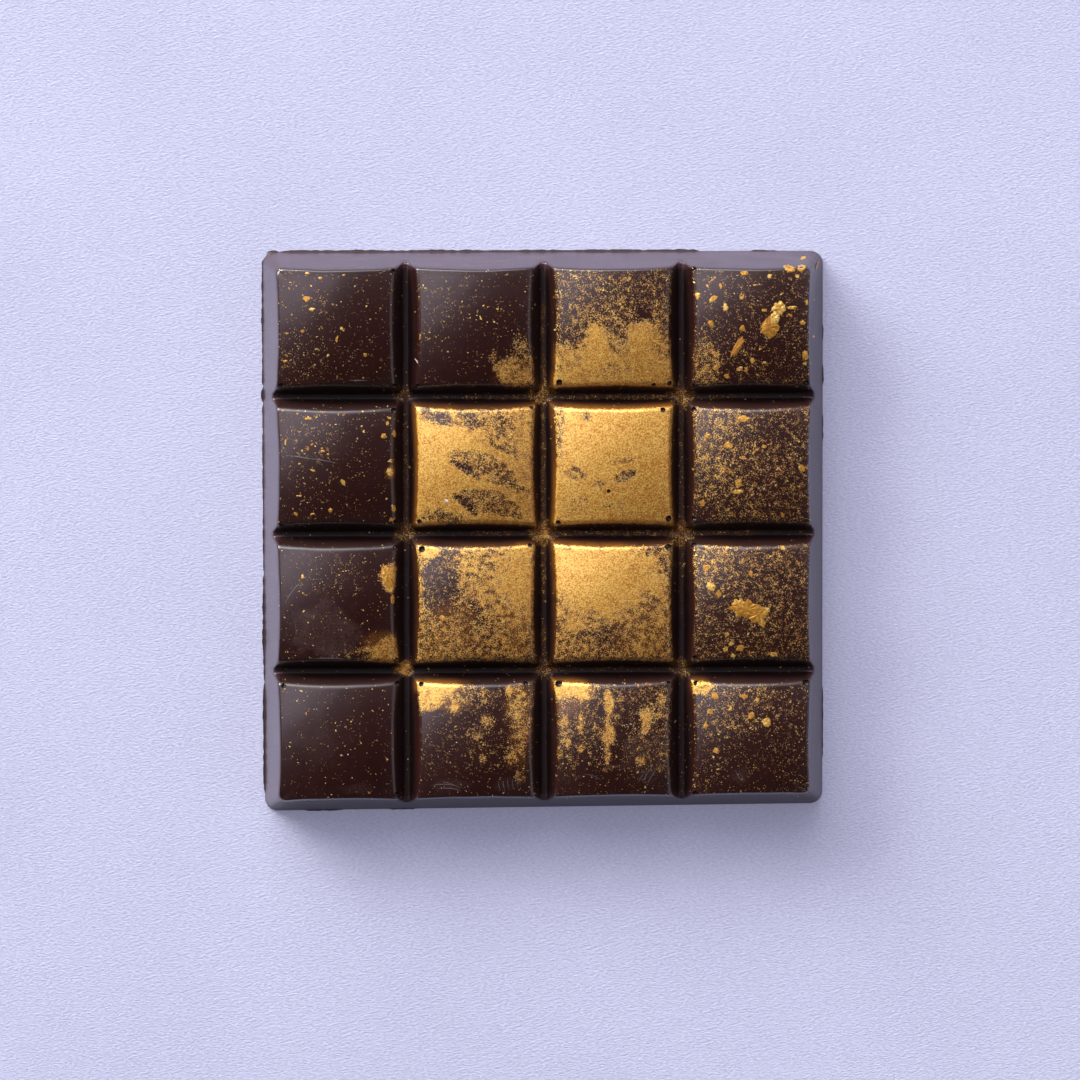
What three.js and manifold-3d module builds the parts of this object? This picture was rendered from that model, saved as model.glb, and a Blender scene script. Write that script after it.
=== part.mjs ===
import * as THREE from 'three';
import { ConvexGeometry } from 'three/addons/geometries/ConvexGeometry.js';
import Module from 'manifold-3d';

// A moulded tablet of dark chocolate: sixteen crowned squares parted by drafted grooves.
// Sizes are in millimetres. X runs across the tablet, Y up it as seen from above, Z up.
const SQUARES = 4;
const PITCH = 24.5;               // from one groove's middle to the next
const BASE_HALF = 50;             // half the side of the outline at the walls' foot
const LOWER_SIDE_INSET = 0.35;    // the lower side stands this much nearer the middle
const LOWER_SIDE_LEAN = 0.01;     // and comes in by this much per millimetre to the right
const CROWN_TOP = 10.9;           // height of the middle of a square
const CROWN_RADIUS = 50;
const FLOOR_HEIGHT = 5.9;         // height of the grooves' floors
const FLOOR_HALF = 0.62;
const GROOVE_DRAFT = Math.tan(THREE.MathUtils.degToRad(21));
const WALL_DRAFT = Math.tan(THREE.MathUtils.degToRad(17.2));
const EDGE_BLEND = 1.1;           // height over which a square's rim is rounded
const FLOOR_BLEND = 0.9;          // and over which a groove's floor is rounded
const CORNER_RADIUS_FOOT = 2.2;
const CORNER_RADIUS_RIM = 1.2;
const LIP_TOP = 0.3;              // thickness of the thin flash around the foot
const LIP_LEAST = 0.05;

const groovePlaces = [-PITCH, 0, PITCH];

// The smaller of two heights, with the corner between them rounded off.
function smoothMin(a, b, blend) {
  const overlap = Math.max(blend - Math.abs(a - b), 0);
  return Math.min(a, b) - (overlap * overlap) / (4 * blend);
}

function smoothMax(a, b, blend) {
  return -smoothMin(-a, -b, blend);
}

function fromGroove(value) {
  return Math.min(...groovePlaces.map((place) => Math.abs(value - place)));
}

// The offset of a place from the middle of its own square.
function fromSquareMiddle(value) {
  const index = THREE.MathUtils.clamp(Math.floor(value / PITCH), -SQUARES / 2, SQUARES / 2 - 1);
  return value - (index + 0.5) * PITCH;
}

function crownHeight(offsetX, offsetY) {
  return CROWN_TOP - (offsetX * offsetX + offsetY * offsetY) / (2 * CROWN_RADIUS);
}

function grooveWallHeight(distance) {
  return FLOOR_HEIGHT + (distance - FLOOR_HALF) / GROOVE_DRAFT;
}

// Squares and grooves together, before the outer walls cut them off.
function innerHeight(x, y) {
  const crown = crownHeight(fromSquareMiddle(x), fromSquareMiddle(y));
  const acrossX = grooveWallHeight(fromGroove(x));
  const acrossY = grooveWallHeight(fromGroove(y));
  const square = smoothMin(smoothMin(crown, acrossX, EDGE_BLEND), acrossY, EDGE_BLEND);
  return smoothMax(square, FLOOR_HEIGHT, FLOOR_BLEND);
}

// Half the width of a groove at its top, where it passes a place this far from a square's middle.
function grooveHalfWidth(offset) {
  const largest = PITCH / 2 - 1.8;
  const along = Math.min(Math.abs(offset), largest);
  let half = 2;
  for (let pass = 0; pass < 6; pass += 1) {
    const rim = crownHeight(PITCH / 2 - half, along);
    half = FLOOR_HALF + (rim - FLOOR_HEIGHT) * GROOVE_DRAFT;
  }
  return half;
}

// Where the outer side stands, as a distance from the middle, at a place along it.
function sideDistance(side, along) {
  if (side === 'lower') {
    return BASE_HALF - LOWER_SIDE_INSET - LOWER_SIDE_LEAN * along;
  }
  return BASE_HALF;
}

// How far inside the foot the outer wall meets the squares and grooves.
function rimInset(side, along) {
  const reach = SQUARES / 2 * PITCH - 2.4;
  const place = THREE.MathUtils.clamp(along, -reach, reach);
  let inset = 3;
  for (let pass = 0; pass < 8; pass += 1) {
    const fromMiddle = BASE_HALF - inset;
    inset = (innerHeight(fromMiddle, place) - LIP_TOP) * WALL_DRAFT;
  }
  return inset;
}

// The lines of the surface's net, in order, each a function of the place along it.
function netLines(lowSide, highSide) {
  const lines = [];
  const wallStops = [
    { share: 0, more: 0 },
    { share: 0.34, more: 0 },
    { share: 0.68, more: 0 },
    { share: 1, more: -0.22 },
    { share: 1, more: 0.03 },
    { share: 1, more: 0.5 },
    { share: 1, more: 1.5 },
  ];
  for (const stop of wallStops) {
    lines.push((along) => -sideDistance(lowSide, along) + rimInset(lowSide, along) * stop.share + stop.more);
  }
  const grooveStops = [
    (half) => -half - 0.55,
    (half) => -half - 0.05,
    (half) => -half + 0.25,
    () => -FLOOR_HALF - 0.35,
    () => -FLOOR_HALF + 0.25,
    () => 0,
    () => FLOOR_HALF - 0.25,
    () => FLOOR_HALF + 0.35,
    (half) => half - 0.25,
    (half) => half + 0.05,
    (half) => half + 0.55,
  ];
  const crownStops = [-0.52, 0, 0.52];
  for (let square = 0; square < SQUARES; square += 1) {
    const middle = (square - SQUARES / 2 + 0.5) * PITCH;
    for (const stop of crownStops) {
      lines.push(() => middle + (stop * PITCH) / 2);
    }
    if (square < SQUARES - 1) {
      const groove = groovePlaces[square];
      for (const stop of grooveStops) {
        lines.push((along) => groove + stop(grooveHalfWidth(fromSquareMiddle(along))));
      }
    }
  }
  for (const stop of [...wallStops].reverse()) {
    lines.push((along) => sideDistance(highSide, along) - rimInset(highSide, along) * stop.share - stop.more);
  }
  return lines;
}

// One point of the net, with its distance inside each of the two nearest sides.
function netPoint(lineX, lineY) {
  let x = lineX(0);
  let y = lineY(0);
  for (let pass = 0; pass < 6; pass += 1) {
    x = lineX(y);
    y = lineY(x);
  }
  const signX = Math.sign(x) || 1;
  const signY = Math.sign(y) || 1;
  const limitX = sideDistance(signX < 0 ? 'left' : 'right', y);
  const limitY = sideDistance(signY < 0 ? 'lower' : 'upper', x);
  return { x, y, signX, signY, insideX: limitX - Math.abs(x), insideY: limitY - Math.abs(y) };
}

// Rounds the corner of the outline on which a point lies, and leaves its height alone.
function roundedCorner(point) {
  const level = Math.min(point.insideX, point.insideY);
  const fromCorner = Math.abs(point.insideX - point.insideY);
  const share = THREE.MathUtils.clamp(level / 3, 0, 1);
  const radius = THREE.MathUtils.lerp(CORNER_RADIUS_FOOT, CORNER_RADIUS_RIM, share);
  const fade = THREE.MathUtils.clamp((6 - level) / 3, 0, 1);
  if (fromCorner >= radius || fade === 0) {
    return { x: point.x, y: point.y };
  }
  const leg = radius - fromCorner;
  const length = Math.hypot(radius, leg);
  const moveFar = fade * (radius - (radius * radius) / length);
  const moveNear = fade * (leg - (radius * leg) / length);
  const nearX = point.insideX <= point.insideY;
  const inX = nearX ? moveFar : moveNear;
  const inY = nearX ? moveNear : moveFar;
  return { x: point.x - point.signX * inX, y: point.y - point.signY * inY };
}

function surfaceHeight(point) {
  const level = Math.min(point.insideX, point.insideY);
  const wall = LIP_TOP + Math.max(level, 0) / WALL_DRAFT;
  if (level <= 0) {
    return LIP_TOP;
  }
  return smoothMin(innerHeight(point.x, point.y), wall, EDGE_BLEND * Math.min(1, level));
}

// Stretches of flash at the foot: side, from, to (along the side) and width.
const lipStretches = [
  ['left', -47, -27, 0.4],
  ['left', -27, -7.5, 0.34],
  ['left', -22, -8, 0.4],
  ['left', -7.5, 23, 0.24],
  ['left', 23, 26, 0.4],
  ['left', 26, 49, 0.26],
  ['upper', -50, -47, 0.4],
  ['upper', -47, 28, 0.26],
  ['upper', 37, 42, 0.22],
  ['lower', -43, -36, 0.3],
  ['lower', -28, -23, 0.26],
  ['right', 34, 37, 0.26],
  ['right', 26, 30, 0.3],
  ['right', 16, 21, 0.24],
  ['right', -41, -28, 0.4],
];

function lipWidth(side, along) {
  let width = LIP_LEAST;
  for (const [name, from, to, most] of lipStretches) {
    if (name === side && along > from && along < to) {
      const fromEnd = Math.min(along - from, to - along);
      width = Math.max(width, LIP_LEAST + (most - LIP_LEAST) * Math.min(1, fromEnd / 0.8));
    }
  }
  return width;
}

// The lip's outer edge beside one point of the foot.
function lipPoint(point, rounded) {
  const onSideX = point.insideX <= point.insideY;
  const side = onSideX
    ? (point.signX < 0 ? 'left' : 'right')
    : (point.signY < 0 ? 'lower' : 'upper');
  const along = onSideX ? point.y : point.x;
  const width = lipWidth(side, along);
  const fromCorner = Math.abs(point.insideX - point.insideY);
  const turn = Math.max(0, CORNER_RADIUS_FOOT - fromCorner);
  const far = CORNER_RADIUS_FOOT / Math.hypot(CORNER_RADIUS_FOOT, turn);
  const near = turn / Math.hypot(CORNER_RADIUS_FOOT, turn);
  const outX = (onSideX ? far : near) * point.signX * width;
  const outY = (onSideX ? near : far) * point.signY * width;
  return { x: rounded.x + outX, y: rounded.y + outY };
}

// Gathers triangles and their corners for one closed shell.
class Shell {
  constructor() {
    this.places = [];
    this.triangles = [];
  }

  corner(x, y, z) {
    this.places.push(x, y, z);
    return this.places.length / 3 - 1;
  }

  quad(a, b, c, d) {
    this.triangles.push(a, b, c, a, c, d);
  }
}

// The numbers of the net's outermost points, once around against the clock.
function rimOrder(columns, rows) {
  const order = [];
  for (let i = 0; i < columns - 1; i += 1) order.push([i, 0]);
  for (let j = 0; j < rows - 1; j += 1) order.push([columns - 1, j]);
  for (let i = columns - 1; i > 0; i -= 1) order.push([i, rows - 1]);
  for (let j = rows - 1; j > 0; j -= 1) order.push([0, j]);
  return order;
}

function tabletShell() {
  const shell = new Shell();
  const linesX = netLines('left', 'right');
  const linesY = netLines('lower', 'upper');
  const points = linesX.map((lineX) => linesY.map((lineY) => netPoint(lineX, lineY)));
  const rounded = points.map((column) => column.map(roundedCorner));
  const top = points.map((column, i) => column.map((point, j) => (
    shell.corner(rounded[i][j].x, rounded[i][j].y, surfaceHeight(point))
  )));
  for (let i = 0; i + 1 < top.length; i += 1) {
    for (let j = 0; j + 1 < top[i].length; j += 1) {
      shell.quad(top[i][j], top[i + 1][j], top[i + 1][j + 1], top[i][j + 1]);
    }
  }
  const order = rimOrder(linesX.length, linesY.length);
  const lipUpper = order.map(([i, j]) => {
    const place = lipPoint(points[i][j], rounded[i][j]);
    return shell.corner(place.x, place.y, LIP_TOP * 0.75);
  });
  const lipLower = order.map(([i, j]) => {
    const place = lipPoint(points[i][j], rounded[i][j]);
    return shell.corner(place.x, place.y, 0);
  });
  const middle = shell.corner(0, 0, 0);
  order.forEach(([i, j], k) => {
    const next = (k + 1) % order.length;
    const [iNext, jNext] = order[next];
    shell.quad(lipUpper[k], lipUpper[next], top[iNext][jNext], top[i][j]);
    shell.quad(lipLower[k], lipLower[next], lipUpper[next], lipUpper[k]);
    shell.triangles.push(lipLower[next], lipLower[k], middle);
  });
  return shell;
}

// The place on the tablet at a share of a square's width and height: rows and columns count
// from the upper left, across runs right and down runs down.
const SQUARE_SIDE = 20.2;

function squarePlace(row, column, across, down) {
  const middleX = (column - 2.5) * PITCH;
  const middleY = (2.5 - row) * PITCH;
  return {
    x: middleX + (across - 0.5) * SQUARE_SIDE,
    y: middleY - (down - 0.5) * SQUARE_SIDE,
  };
}

// Small pits left by air bubbles: row, column, across, down and diameter. Nearly all of them
// sit on a corner of a square, where the air was caught in the mould.
const pits = [
  [1, 1, 1.0, 0.0, 0.8], [1, 1, 0.01, 1.0, 0.8], [1, 1, 1.0, 1.01, 0.9],
  [1, 2, 0.0, 1.01, 0.8], [1, 3, 0.03, 0.98, 1.0], [1, 3, 0.86, 1.0, 0.7],
  [1, 3, 1.0, 0.99, 0.8], [1, 4, 0.0, -0.01, 0.9], [1, 4, 0.99, 0.99, 0.8],
  [1, 4, 0.01, 1.01, 0.8], [2, 1, 1.0, 0.01, 0.9], [2, 1, 0.01, 1.02, 0.8],
  [2, 1, 1.0, 1.0, 1.0], [2, 2, 1.0, -0.01, 0.7], [2, 2, 0.01, 0.99, 0.8],
  [2, 3, 0.94, 0.01, 0.8], [2, 3, 0.99, 0.97, 1.0], [2, 3, 0.02, 1.0, 0.8],
  [2, 3, 0.46, 0.72, 0.6], [2, 4, 0.0, 0.01, 0.9], [2, 4, 0.0, 0.97, 0.9],
  [3, 1, 1.01, 0.01, 0.9], [3, 2, 0.03, 0.02, 1.0], [3, 2, 0.98, -0.01, 0.8],
  [3, 3, 0.99, 0.01, 1.1], [3, 4, 0.0, -0.01, 0.9], [3, 1, 1.01, 1.0, 0.8],
  [3, 4, 0.01, 0.99, 0.8], [4, 1, 0.02, 0.01, 0.8], [4, 1, 1.02, 0.0, 0.9],
  [4, 1, 1.01, 0.98, 0.9], [4, 2, 0.02, 0.0, 0.8], [4, 2, 0.94, 0.0, 0.8],
  [4, 3, 0.02, 0.0, 1.1], [4, 3, 0.99, 0.0, 0.7], [4, 4, 0.02, 0.0, 0.9],
  [4, 4, 0.99, 0.0, 1.1], [4, 4, 0.01, 0.98, 0.9],
];

// The larger flakes of gold: row, column, across, down, width, length and turn in degrees.
const flakes = [
  [1, 4, 0.67, 0.49, 3.4, 4.8, -20], [1, 4, 0.78, 0.34, 2.2, 2.6, 30],
  [1, 4, 0.37, 0.67, 1.7, 3.6, -18], [1, 4, 0.84, -0.02, 1.5, 1.2, 0],
  [1, 4, 0.93, -0.02, 1.4, 1.3, 20], [1, 4, 0.16, 0.26, 1.1, 1.0, 0],
  [1, 4, 0.42, 0.51, 1.2, 1.0, 30], [2, 1, 0.95, 0.56, 1.5, 2.1, 10],
  [2, 1, 0.96, 0.1, 1.5, 1.2, 0], [2, 4, 0.43, 0.1, 1.6, 1.3, 15],
  [2, 4, 0.39, 0.68, 1.4, 1.6, -10], [2, 4, 0.07, 0.83, 1.2, 1.5, 0],
  [3, 1, 0.93, 0.27, 2.8, 3.8, -8], [3, 1, 0.97, 0.46, 1.4, 1.6, 0],
  [3, 2, 0.21, 0.62, 1.6, 1.1, 35], [3, 4, 0.46, 0.57, 6.2, 3.4, 24],
  [3, 4, 0.15, 0.36, 1.5, 1.3, 0], [3, 4, 0.36, 0.92, 1.7, 1.4, 20],
  [4, 4, 0.06, 0.02, 1.6, 1.3, 0], [4, 4, 0.5, 0.28, 1.3, 1.2, 0],
  [4, 4, 0.63, 0.36, 1.5, 2.2, 12], [4, 4, 0.19, 0.12, 1.2, 1.1, 0],
];
const FLAKE_RISE = 0.14;
const FLAKE_SINK = 0.5;

// How far out of round each corner of a flake stands.
const flakeRims = [1.0, 0.78, 1.05, 0.7, 0.96, 0.82, 1.08, 0.74];

function pitGeometry([row, column, across, down, size]) {
  const place = squarePlace(row, column, across, down);
  const height = innerHeight(place.x, place.y);
  const ball = new THREE.IcosahedronGeometry(size / 2, 1);
  ball.translate(place.x, place.y, height + size * 0.08);
  return ball;
}

// A flake is a thin many-cornered scale that follows the slope it lies on.
function flakeGeometry([row, column, across, down, width, length, turn], index) {
  const place = squarePlace(row, column, across, down);
  const angle = THREE.MathUtils.degToRad(turn);
  const rims = [];
  flakeRims.forEach((share, k) => {
    const around = ((k + 0.35 * (index % 3)) / flakeRims.length) * Math.PI * 2;
    const sideways = (Math.cos(around) * width * share) / 2;
    const lengthways = (Math.sin(around) * length * share) / 2;
    const x = place.x + sideways * Math.cos(angle) - lengthways * Math.sin(angle);
    const y = place.y + sideways * Math.sin(angle) + lengthways * Math.cos(angle);
    const z = innerHeight(x, y);
    rims.push(new THREE.Vector3(x, y, z + FLAKE_RISE));
    rims.push(new THREE.Vector3(x, y, z - FLAKE_SINK));
  });
  return new ConvexGeometry(rims);
}

// Turns a geometry into a solid, giving corners in the same place one number.
function solidFrom(wasm, geometry) {
  const position = geometry.getAttribute('position');
  const numbers = new Map();
  const places = [];
  const triangles = [];
  for (let k = 0; k < position.count; k += 1) {
    const spot = [position.getX(k), position.getY(k), position.getZ(k)];
    const key = spot.map((value) => Math.round(value * 1e5)).join(' ');
    if (!numbers.has(key)) {
      numbers.set(key, places.length / 3);
      places.push(...spot);
    }
    triangles.push(numbers.get(key));
  }
  return solidFromLists(wasm, places, triangles);
}

function solidFromLists(wasm, places, triangles) {
  return new wasm.Manifold(new wasm.Mesh({
    numProp: 3,
    vertProperties: new Float32Array(places),
    triVerts: new Uint32Array(triangles),
  }));
}

function geometryFrom(solid) {
  const mesh = solid.getMesh();
  const places = new Float32Array((mesh.vertProperties.length / mesh.numProp) * 3);
  for (let k = 0; k < places.length / 3; k += 1) {
    for (let axis = 0; axis < 3; axis += 1) {
      places[k * 3 + axis] = mesh.vertProperties[k * mesh.numProp + axis];
    }
  }
  const indexed = new THREE.BufferGeometry();
  indexed.setAttribute('position', new THREE.BufferAttribute(places, 3));
  indexed.setIndex(new THREE.BufferAttribute(new Uint32Array(mesh.triVerts), 1));
  const geometry = indexed.toNonIndexed();
  geometry.computeVertexNormals();
  return geometry;
}

function chocolateMaterial() {
  return new THREE.MeshStandardMaterial({ color: 0x3a2221, roughness: 0.38, metalness: 0 });
}

async function chocolateBar() {
  const wasm = await Module();
  wasm.setup();
  const shell = tabletShell();
  let bar = solidFromLists(wasm, shell.places, shell.triangles);
  for (const flake of flakes.map(flakeGeometry)) {
    bar = bar.add(solidFrom(wasm, flake));
  }
  for (const pit of pits.map(pitGeometry)) {
    bar = bar.subtract(solidFrom(wasm, pit));
  }
  const mesh = new THREE.Mesh(geometryFrom(bar), chocolateMaterial());
  mesh.name = 'chocolate_bar';
  return mesh;
}

const part = new THREE.Group();
part.name = 'part';
part.add(await chocolateBar());

export default part;
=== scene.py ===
import math

import bmesh
import bpy
import numpy as np
from mathutils import Matrix, Vector


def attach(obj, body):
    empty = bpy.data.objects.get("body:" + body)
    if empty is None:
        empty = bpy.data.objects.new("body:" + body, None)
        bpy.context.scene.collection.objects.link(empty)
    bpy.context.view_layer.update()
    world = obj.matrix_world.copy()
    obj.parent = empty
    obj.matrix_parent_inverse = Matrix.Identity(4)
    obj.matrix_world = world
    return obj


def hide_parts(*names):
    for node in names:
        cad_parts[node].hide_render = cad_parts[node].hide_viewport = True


# A moulded tablet of dark chocolate with gold dust brushed over it, seen from above.
# The form is worked out in millimetres by the same rules as the solid, and put into the
# scene in metres.
MM = 0.001

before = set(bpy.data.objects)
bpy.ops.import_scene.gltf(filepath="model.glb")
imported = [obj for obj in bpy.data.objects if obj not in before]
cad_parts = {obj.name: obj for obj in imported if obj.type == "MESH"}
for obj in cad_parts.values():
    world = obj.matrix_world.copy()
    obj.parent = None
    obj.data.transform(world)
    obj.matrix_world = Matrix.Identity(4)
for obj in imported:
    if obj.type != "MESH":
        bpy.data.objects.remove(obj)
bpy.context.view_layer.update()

# Sizes of the tablet. X runs across it, Y up it as seen from above, Z up.
SQUARES = 4
PITCH = 24.5                # from one groove's middle to the next
BASE_HALF = 50.0            # half the side of the outline at the walls' foot
LOWER_SIDE_INSET = 0.35     # the lower side stands this much nearer the middle
LOWER_SIDE_LEAN = 0.01      # and comes in by this much per millimetre to the right
CROWN_TOP = 10.9            # height of the middle of a square
CROWN_RADIUS = 50.0
FLOOR_HEIGHT = 5.9          # height of the grooves' floors
FLOOR_HALF = 0.62
GROOVE_DRAFT = math.tan(math.radians(21))
WALL_DRAFT = math.tan(math.radians(17.2))
EDGE_BLEND = 1.5            # height over which a square's rim is rounded
WALL_BLEND = 0.75           # and over which it is rounded where it meets an outer wall
FLOOR_BLEND = 0.9           # and over which a groove's floor is rounded
CORNER_RADIUS_FOOT = 2.2
CORNER_RADIUS_RIM = 1.2
LIP_TOP = 0.3               # thickness of the thin flash around the foot
LIP_LEAST = 0.05            # and its least width
CROSSING_REACH = 1.8        # grooves keep their width this near to a crossing's middle
CORNER_REACH = 2.4          # and outer walls their width this near to a corner of the squares
SQUARE_SIDE = 20.2          # the part of the pitch that one square's top takes
PERCENT = SQUARE_SIDE / 100
MIDDLE_COUNT = (SQUARES + 1) / 2    # the row and the column, counted from 1, of the very middle
GROOVES = np.array([-PITCH, 0.0, PITCH])


# Rules of the form.


def smooth_min(a, b, blend):
    """The smaller of two heights, with the corner between them rounded off."""
    overlap = np.maximum(blend - np.abs(a - b), 0)
    return np.minimum(a, b) - overlap ** 2 / (4 * np.maximum(blend, 1e-9))


def smooth_max(a, b, blend):
    return -smooth_min(-a, -b, blend)


def smooth_step(low, high, value):
    share = np.clip((value - low) / (high - low), 0, 1)
    return share * share * (3 - 2 * share)


def soft_noise(x, y, size, seed):
    """Smooth noise from -1 to 1 whose bumps are about one size across."""
    table = np.random.default_rng(seed).uniform(-1, 1, (64, 64))
    cell_x, cell_y = np.floor(x / size), np.floor(y / size)
    share_x, share_y = x / size - cell_x, y / size - cell_y
    share_x = share_x ** 2 * (3 - 2 * share_x)
    share_y = share_y ** 2 * (3 - 2 * share_y)
    i, j = cell_x.astype(int) % 64, cell_y.astype(int) % 64
    i_next, j_next = (i + 1) % 64, (j + 1) % 64
    near = table[i, j] * (1 - share_x) + table[i_next, j] * share_x
    far = table[i, j_next] * (1 - share_x) + table[i_next, j_next] * share_x
    return near * (1 - share_y) + far * share_y


def from_groove(value):
    return np.min(np.abs(np.asarray(value)[..., None] - GROOVES), axis=-1)


def from_square_middle(value):
    index = np.clip(np.floor(value / PITCH), -SQUARES / 2, SQUARES / 2 - 1)
    return value - (index + 0.5) * PITCH


def crown_height(offset_x, offset_y):
    return CROWN_TOP - (offset_x ** 2 + offset_y ** 2) / (2 * CROWN_RADIUS)


def groove_wall_height(distance):
    return FLOOR_HEIGHT + (distance - FLOOR_HALF) / GROOVE_DRAFT


def inner_height(x, y):
    """Squares and grooves together, before the outer walls cut them off."""
    crown = crown_height(from_square_middle(x), from_square_middle(y))
    across_x = groove_wall_height(from_groove(x))
    across_y = groove_wall_height(from_groove(y))
    square = smooth_min(smooth_min(crown, across_x, EDGE_BLEND), across_y, EDGE_BLEND)
    return smooth_max(square, FLOOR_HEIGHT, FLOOR_BLEND)


def groove_half_width(offset):
    """Half a groove's width at its top, where it passes a place this far from a square's middle."""
    along = np.minimum(np.abs(offset), PITCH / 2 - CROSSING_REACH)
    half = np.full_like(along, 2.0)
    for _ in range(6):
        rim = crown_height(PITCH / 2 - half, along)
        half = FLOOR_HALF + (rim - FLOOR_HEIGHT) * GROOVE_DRAFT
    return half


def side_distance(side, along):
    """Where an outer side stands, as a distance from the middle, at a place along it."""
    if side == "lower":
        return BASE_HALF - LOWER_SIDE_INSET - LOWER_SIDE_LEAN * along
    return BASE_HALF + 0 * along


def rim_inset(along):
    """How far inside the foot an outer wall meets the squares and grooves."""
    reach = SQUARES / 2 * PITCH - CORNER_REACH
    place = np.clip(along, -reach, reach)
    inset = np.full_like(place, 3.0)
    for _ in range(8):
        inset = (inner_height(BASE_HALF - inset, place) - LIP_TOP) * WALL_DRAFT
    return inset


# The net of lines that carries the surface: where its lines stand.

WALL_SHARES = [0, 0.03, 0.07, 0.2, 0.36, 0.52, 0.68, 0.8]
RIM_STEPS = [-0.4, -0.26, -0.14, -0.04, 0.06, 0.17, 0.3, 0.48, 0.75]
GROOVE_FLOOR_STEPS = [0, 0.16, 0.32, 0.48, 0.64, 0.82]
GROOVE_WALL_SHARES = [0.36, 0.68]
GROOVE_RIM_STEPS = [-0.34, -0.2, -0.08, 0.04, 0.17, 0.32, 0.52, 0.8]
TOP_STEPS = 37              # strips across a square, between its rims


def wall_lines(side, outward):
    """Lines up an outer wall and over its rim, from the foot inwards."""
    lines = []
    for share in WALL_SHARES:
        lines.append(lambda t, s=share: outward * (side_distance(side, t) - rim_inset(t) * s))
    for step in RIM_STEPS:
        lines.append(lambda t, s=step: outward * (side_distance(side, t) - rim_inset(t) - s))
    return lines


def groove_lines(middle):
    """Lines along one groove: its floor, its two walls and both rims, from low to high."""
    half_lines = []
    for step in GROOVE_FLOOR_STEPS:
        half_lines.append(lambda half, s=step: s + 0 * half)
    last_floor = GROOVE_FLOOR_STEPS[-1]
    for share in GROOVE_WALL_SHARES:
        half_lines.append(
            lambda half, s=share: last_floor + (half + GROOVE_RIM_STEPS[0] - last_floor) * s
        )
    for step in GROOVE_RIM_STEPS:
        half_lines.append(lambda half, s=step: half + s)

    def line(rule, sign):
        return lambda t: middle + sign * rule(groove_half_width(from_square_middle(t)))

    low = [line(rule, -1) for rule in reversed(half_lines[1:])]
    return low + [line(rule, 1) for rule in half_lines]


def net_lines(low_side, high_side):
    """All lines of one direction in order, each a function of the place along it."""
    groups = [wall_lines(low_side, -1)]
    for middle in GROOVES:
        groups.append(groove_lines(middle))
    groups.append(list(reversed(wall_lines(high_side, 1))))
    lines = list(groups[0])
    for group in groups[1:]:
        start, end = lines[-1], group[0]
        for step in range(1, TOP_STEPS):
            share = step / TOP_STEPS
            lines.append(lambda t, a=start, b=end, s=share: a(t) * (1 - s) + b(t) * s)
        lines.extend(group)
    return lines


def net_places():
    """Where the two sets of lines cross."""
    lines_x = net_lines("left", "right")
    lines_y = net_lines("lower", "upper")
    still = np.zeros(1)
    x = np.repeat([[line(still)[0]] for line in lines_x], len(lines_y), axis=1)
    y = np.repeat([[line(still)[0] for line in lines_y]], len(lines_x), axis=0)
    for _ in range(5):
        x = np.stack([line(y[i]) for i, line in enumerate(lines_x)])
        y = np.stack([line(x[:, j]) for j, line in enumerate(lines_y)], axis=1)
    return x, y


def inside_distances(x, y):
    """How far inside the nearest upright and level sides each place stands."""
    limit_y = np.where(y < 0, side_distance("lower", x), side_distance("upper", x))
    return BASE_HALF - np.abs(x), limit_y - np.abs(y)


def surface_height(x, y, inside_x, inside_y):
    level = np.minimum(inside_x, inside_y)
    wall = LIP_TOP + np.maximum(level, 0) / WALL_DRAFT
    blend = WALL_BLEND * np.clip(level, 0, 1)
    return np.where(level <= 0, LIP_TOP, smooth_min(inner_height(x, y), wall, blend))


def rounded_corners(x, y, inside_x, inside_y):
    """Rounds the corners of the outline, and leaves the heights alone."""
    level = np.minimum(inside_x, inside_y)
    from_corner = np.abs(inside_x - inside_y)
    share = np.clip(level / 3, 0, 1)
    radius = CORNER_RADIUS_FOOT * (1 - share) + CORNER_RADIUS_RIM * share
    fade = np.clip((6 - level) / 3, 0, 1)
    leg = np.maximum(radius - from_corner, 0)
    length = np.hypot(radius, leg)
    move_far = fade * (radius - radius ** 2 / length)
    move_near = fade * (leg - radius * leg / length)
    near_x = inside_x <= inside_y
    in_x = np.where(near_x, move_far, move_near)
    in_y = np.where(near_x, move_near, move_far)
    return x - np.sign(x) * in_x, y - np.sign(y) * in_y


# Stretches of flash at the foot: side, from and to (along the side) and width.
LIP_STRETCHES = [
    ("left", -47, -27, 0.34), ("left", -27, -7.5, 0.28), ("left", -22, -8, 0.34),
    ("left", -7.5, 23, 0.24), ("left", 23, 26, 0.36), ("left", 26, 49, 0.26),
    ("upper", -50, -47, 0.36), ("upper", -47, 28, 0.34), ("upper", 37, 42, 0.2),
    ("lower", -43, -36, 0.2), ("lower", -28, -23, 0.2), ("right", 34, 37, 0.2),
    ("right", 26, 30, 0.22), ("right", 16, 21, 0.18), ("right", -41, -28, 0.16),
]


def lip_width(side, along):
    """The flash's width beside one place of the foot, ragged as it breaks off the mould."""
    ragged = 1 + 0.3 * soft_noise(along, 0 * along, 0.9, 5) + 0.2 * soft_noise(along, 0 * along, 3.1, 6)
    width = np.full_like(along, LIP_LEAST)
    for name, start, end, most in LIP_STRETCHES:
        from_end = np.minimum(along - start, end - along)
        here = LIP_LEAST + (most * ragged - LIP_LEAST) * np.clip(from_end / 0.8, 0, 1)
        if name == side:
            width = np.maximum(width, np.where(from_end > 0, here, 0))
    return width


def rim_order(columns, rows):
    """The net's outermost crossings, once around against the clock."""
    order = [(i, 0) for i in range(columns - 1)]
    order += [(columns - 1, j) for j in range(rows - 1)]
    order += [(i, rows - 1) for i in range(columns - 1, 0, -1)]
    order += [(0, j) for j in range(rows - 1, 0, -1)]
    return np.array(order)


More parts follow.
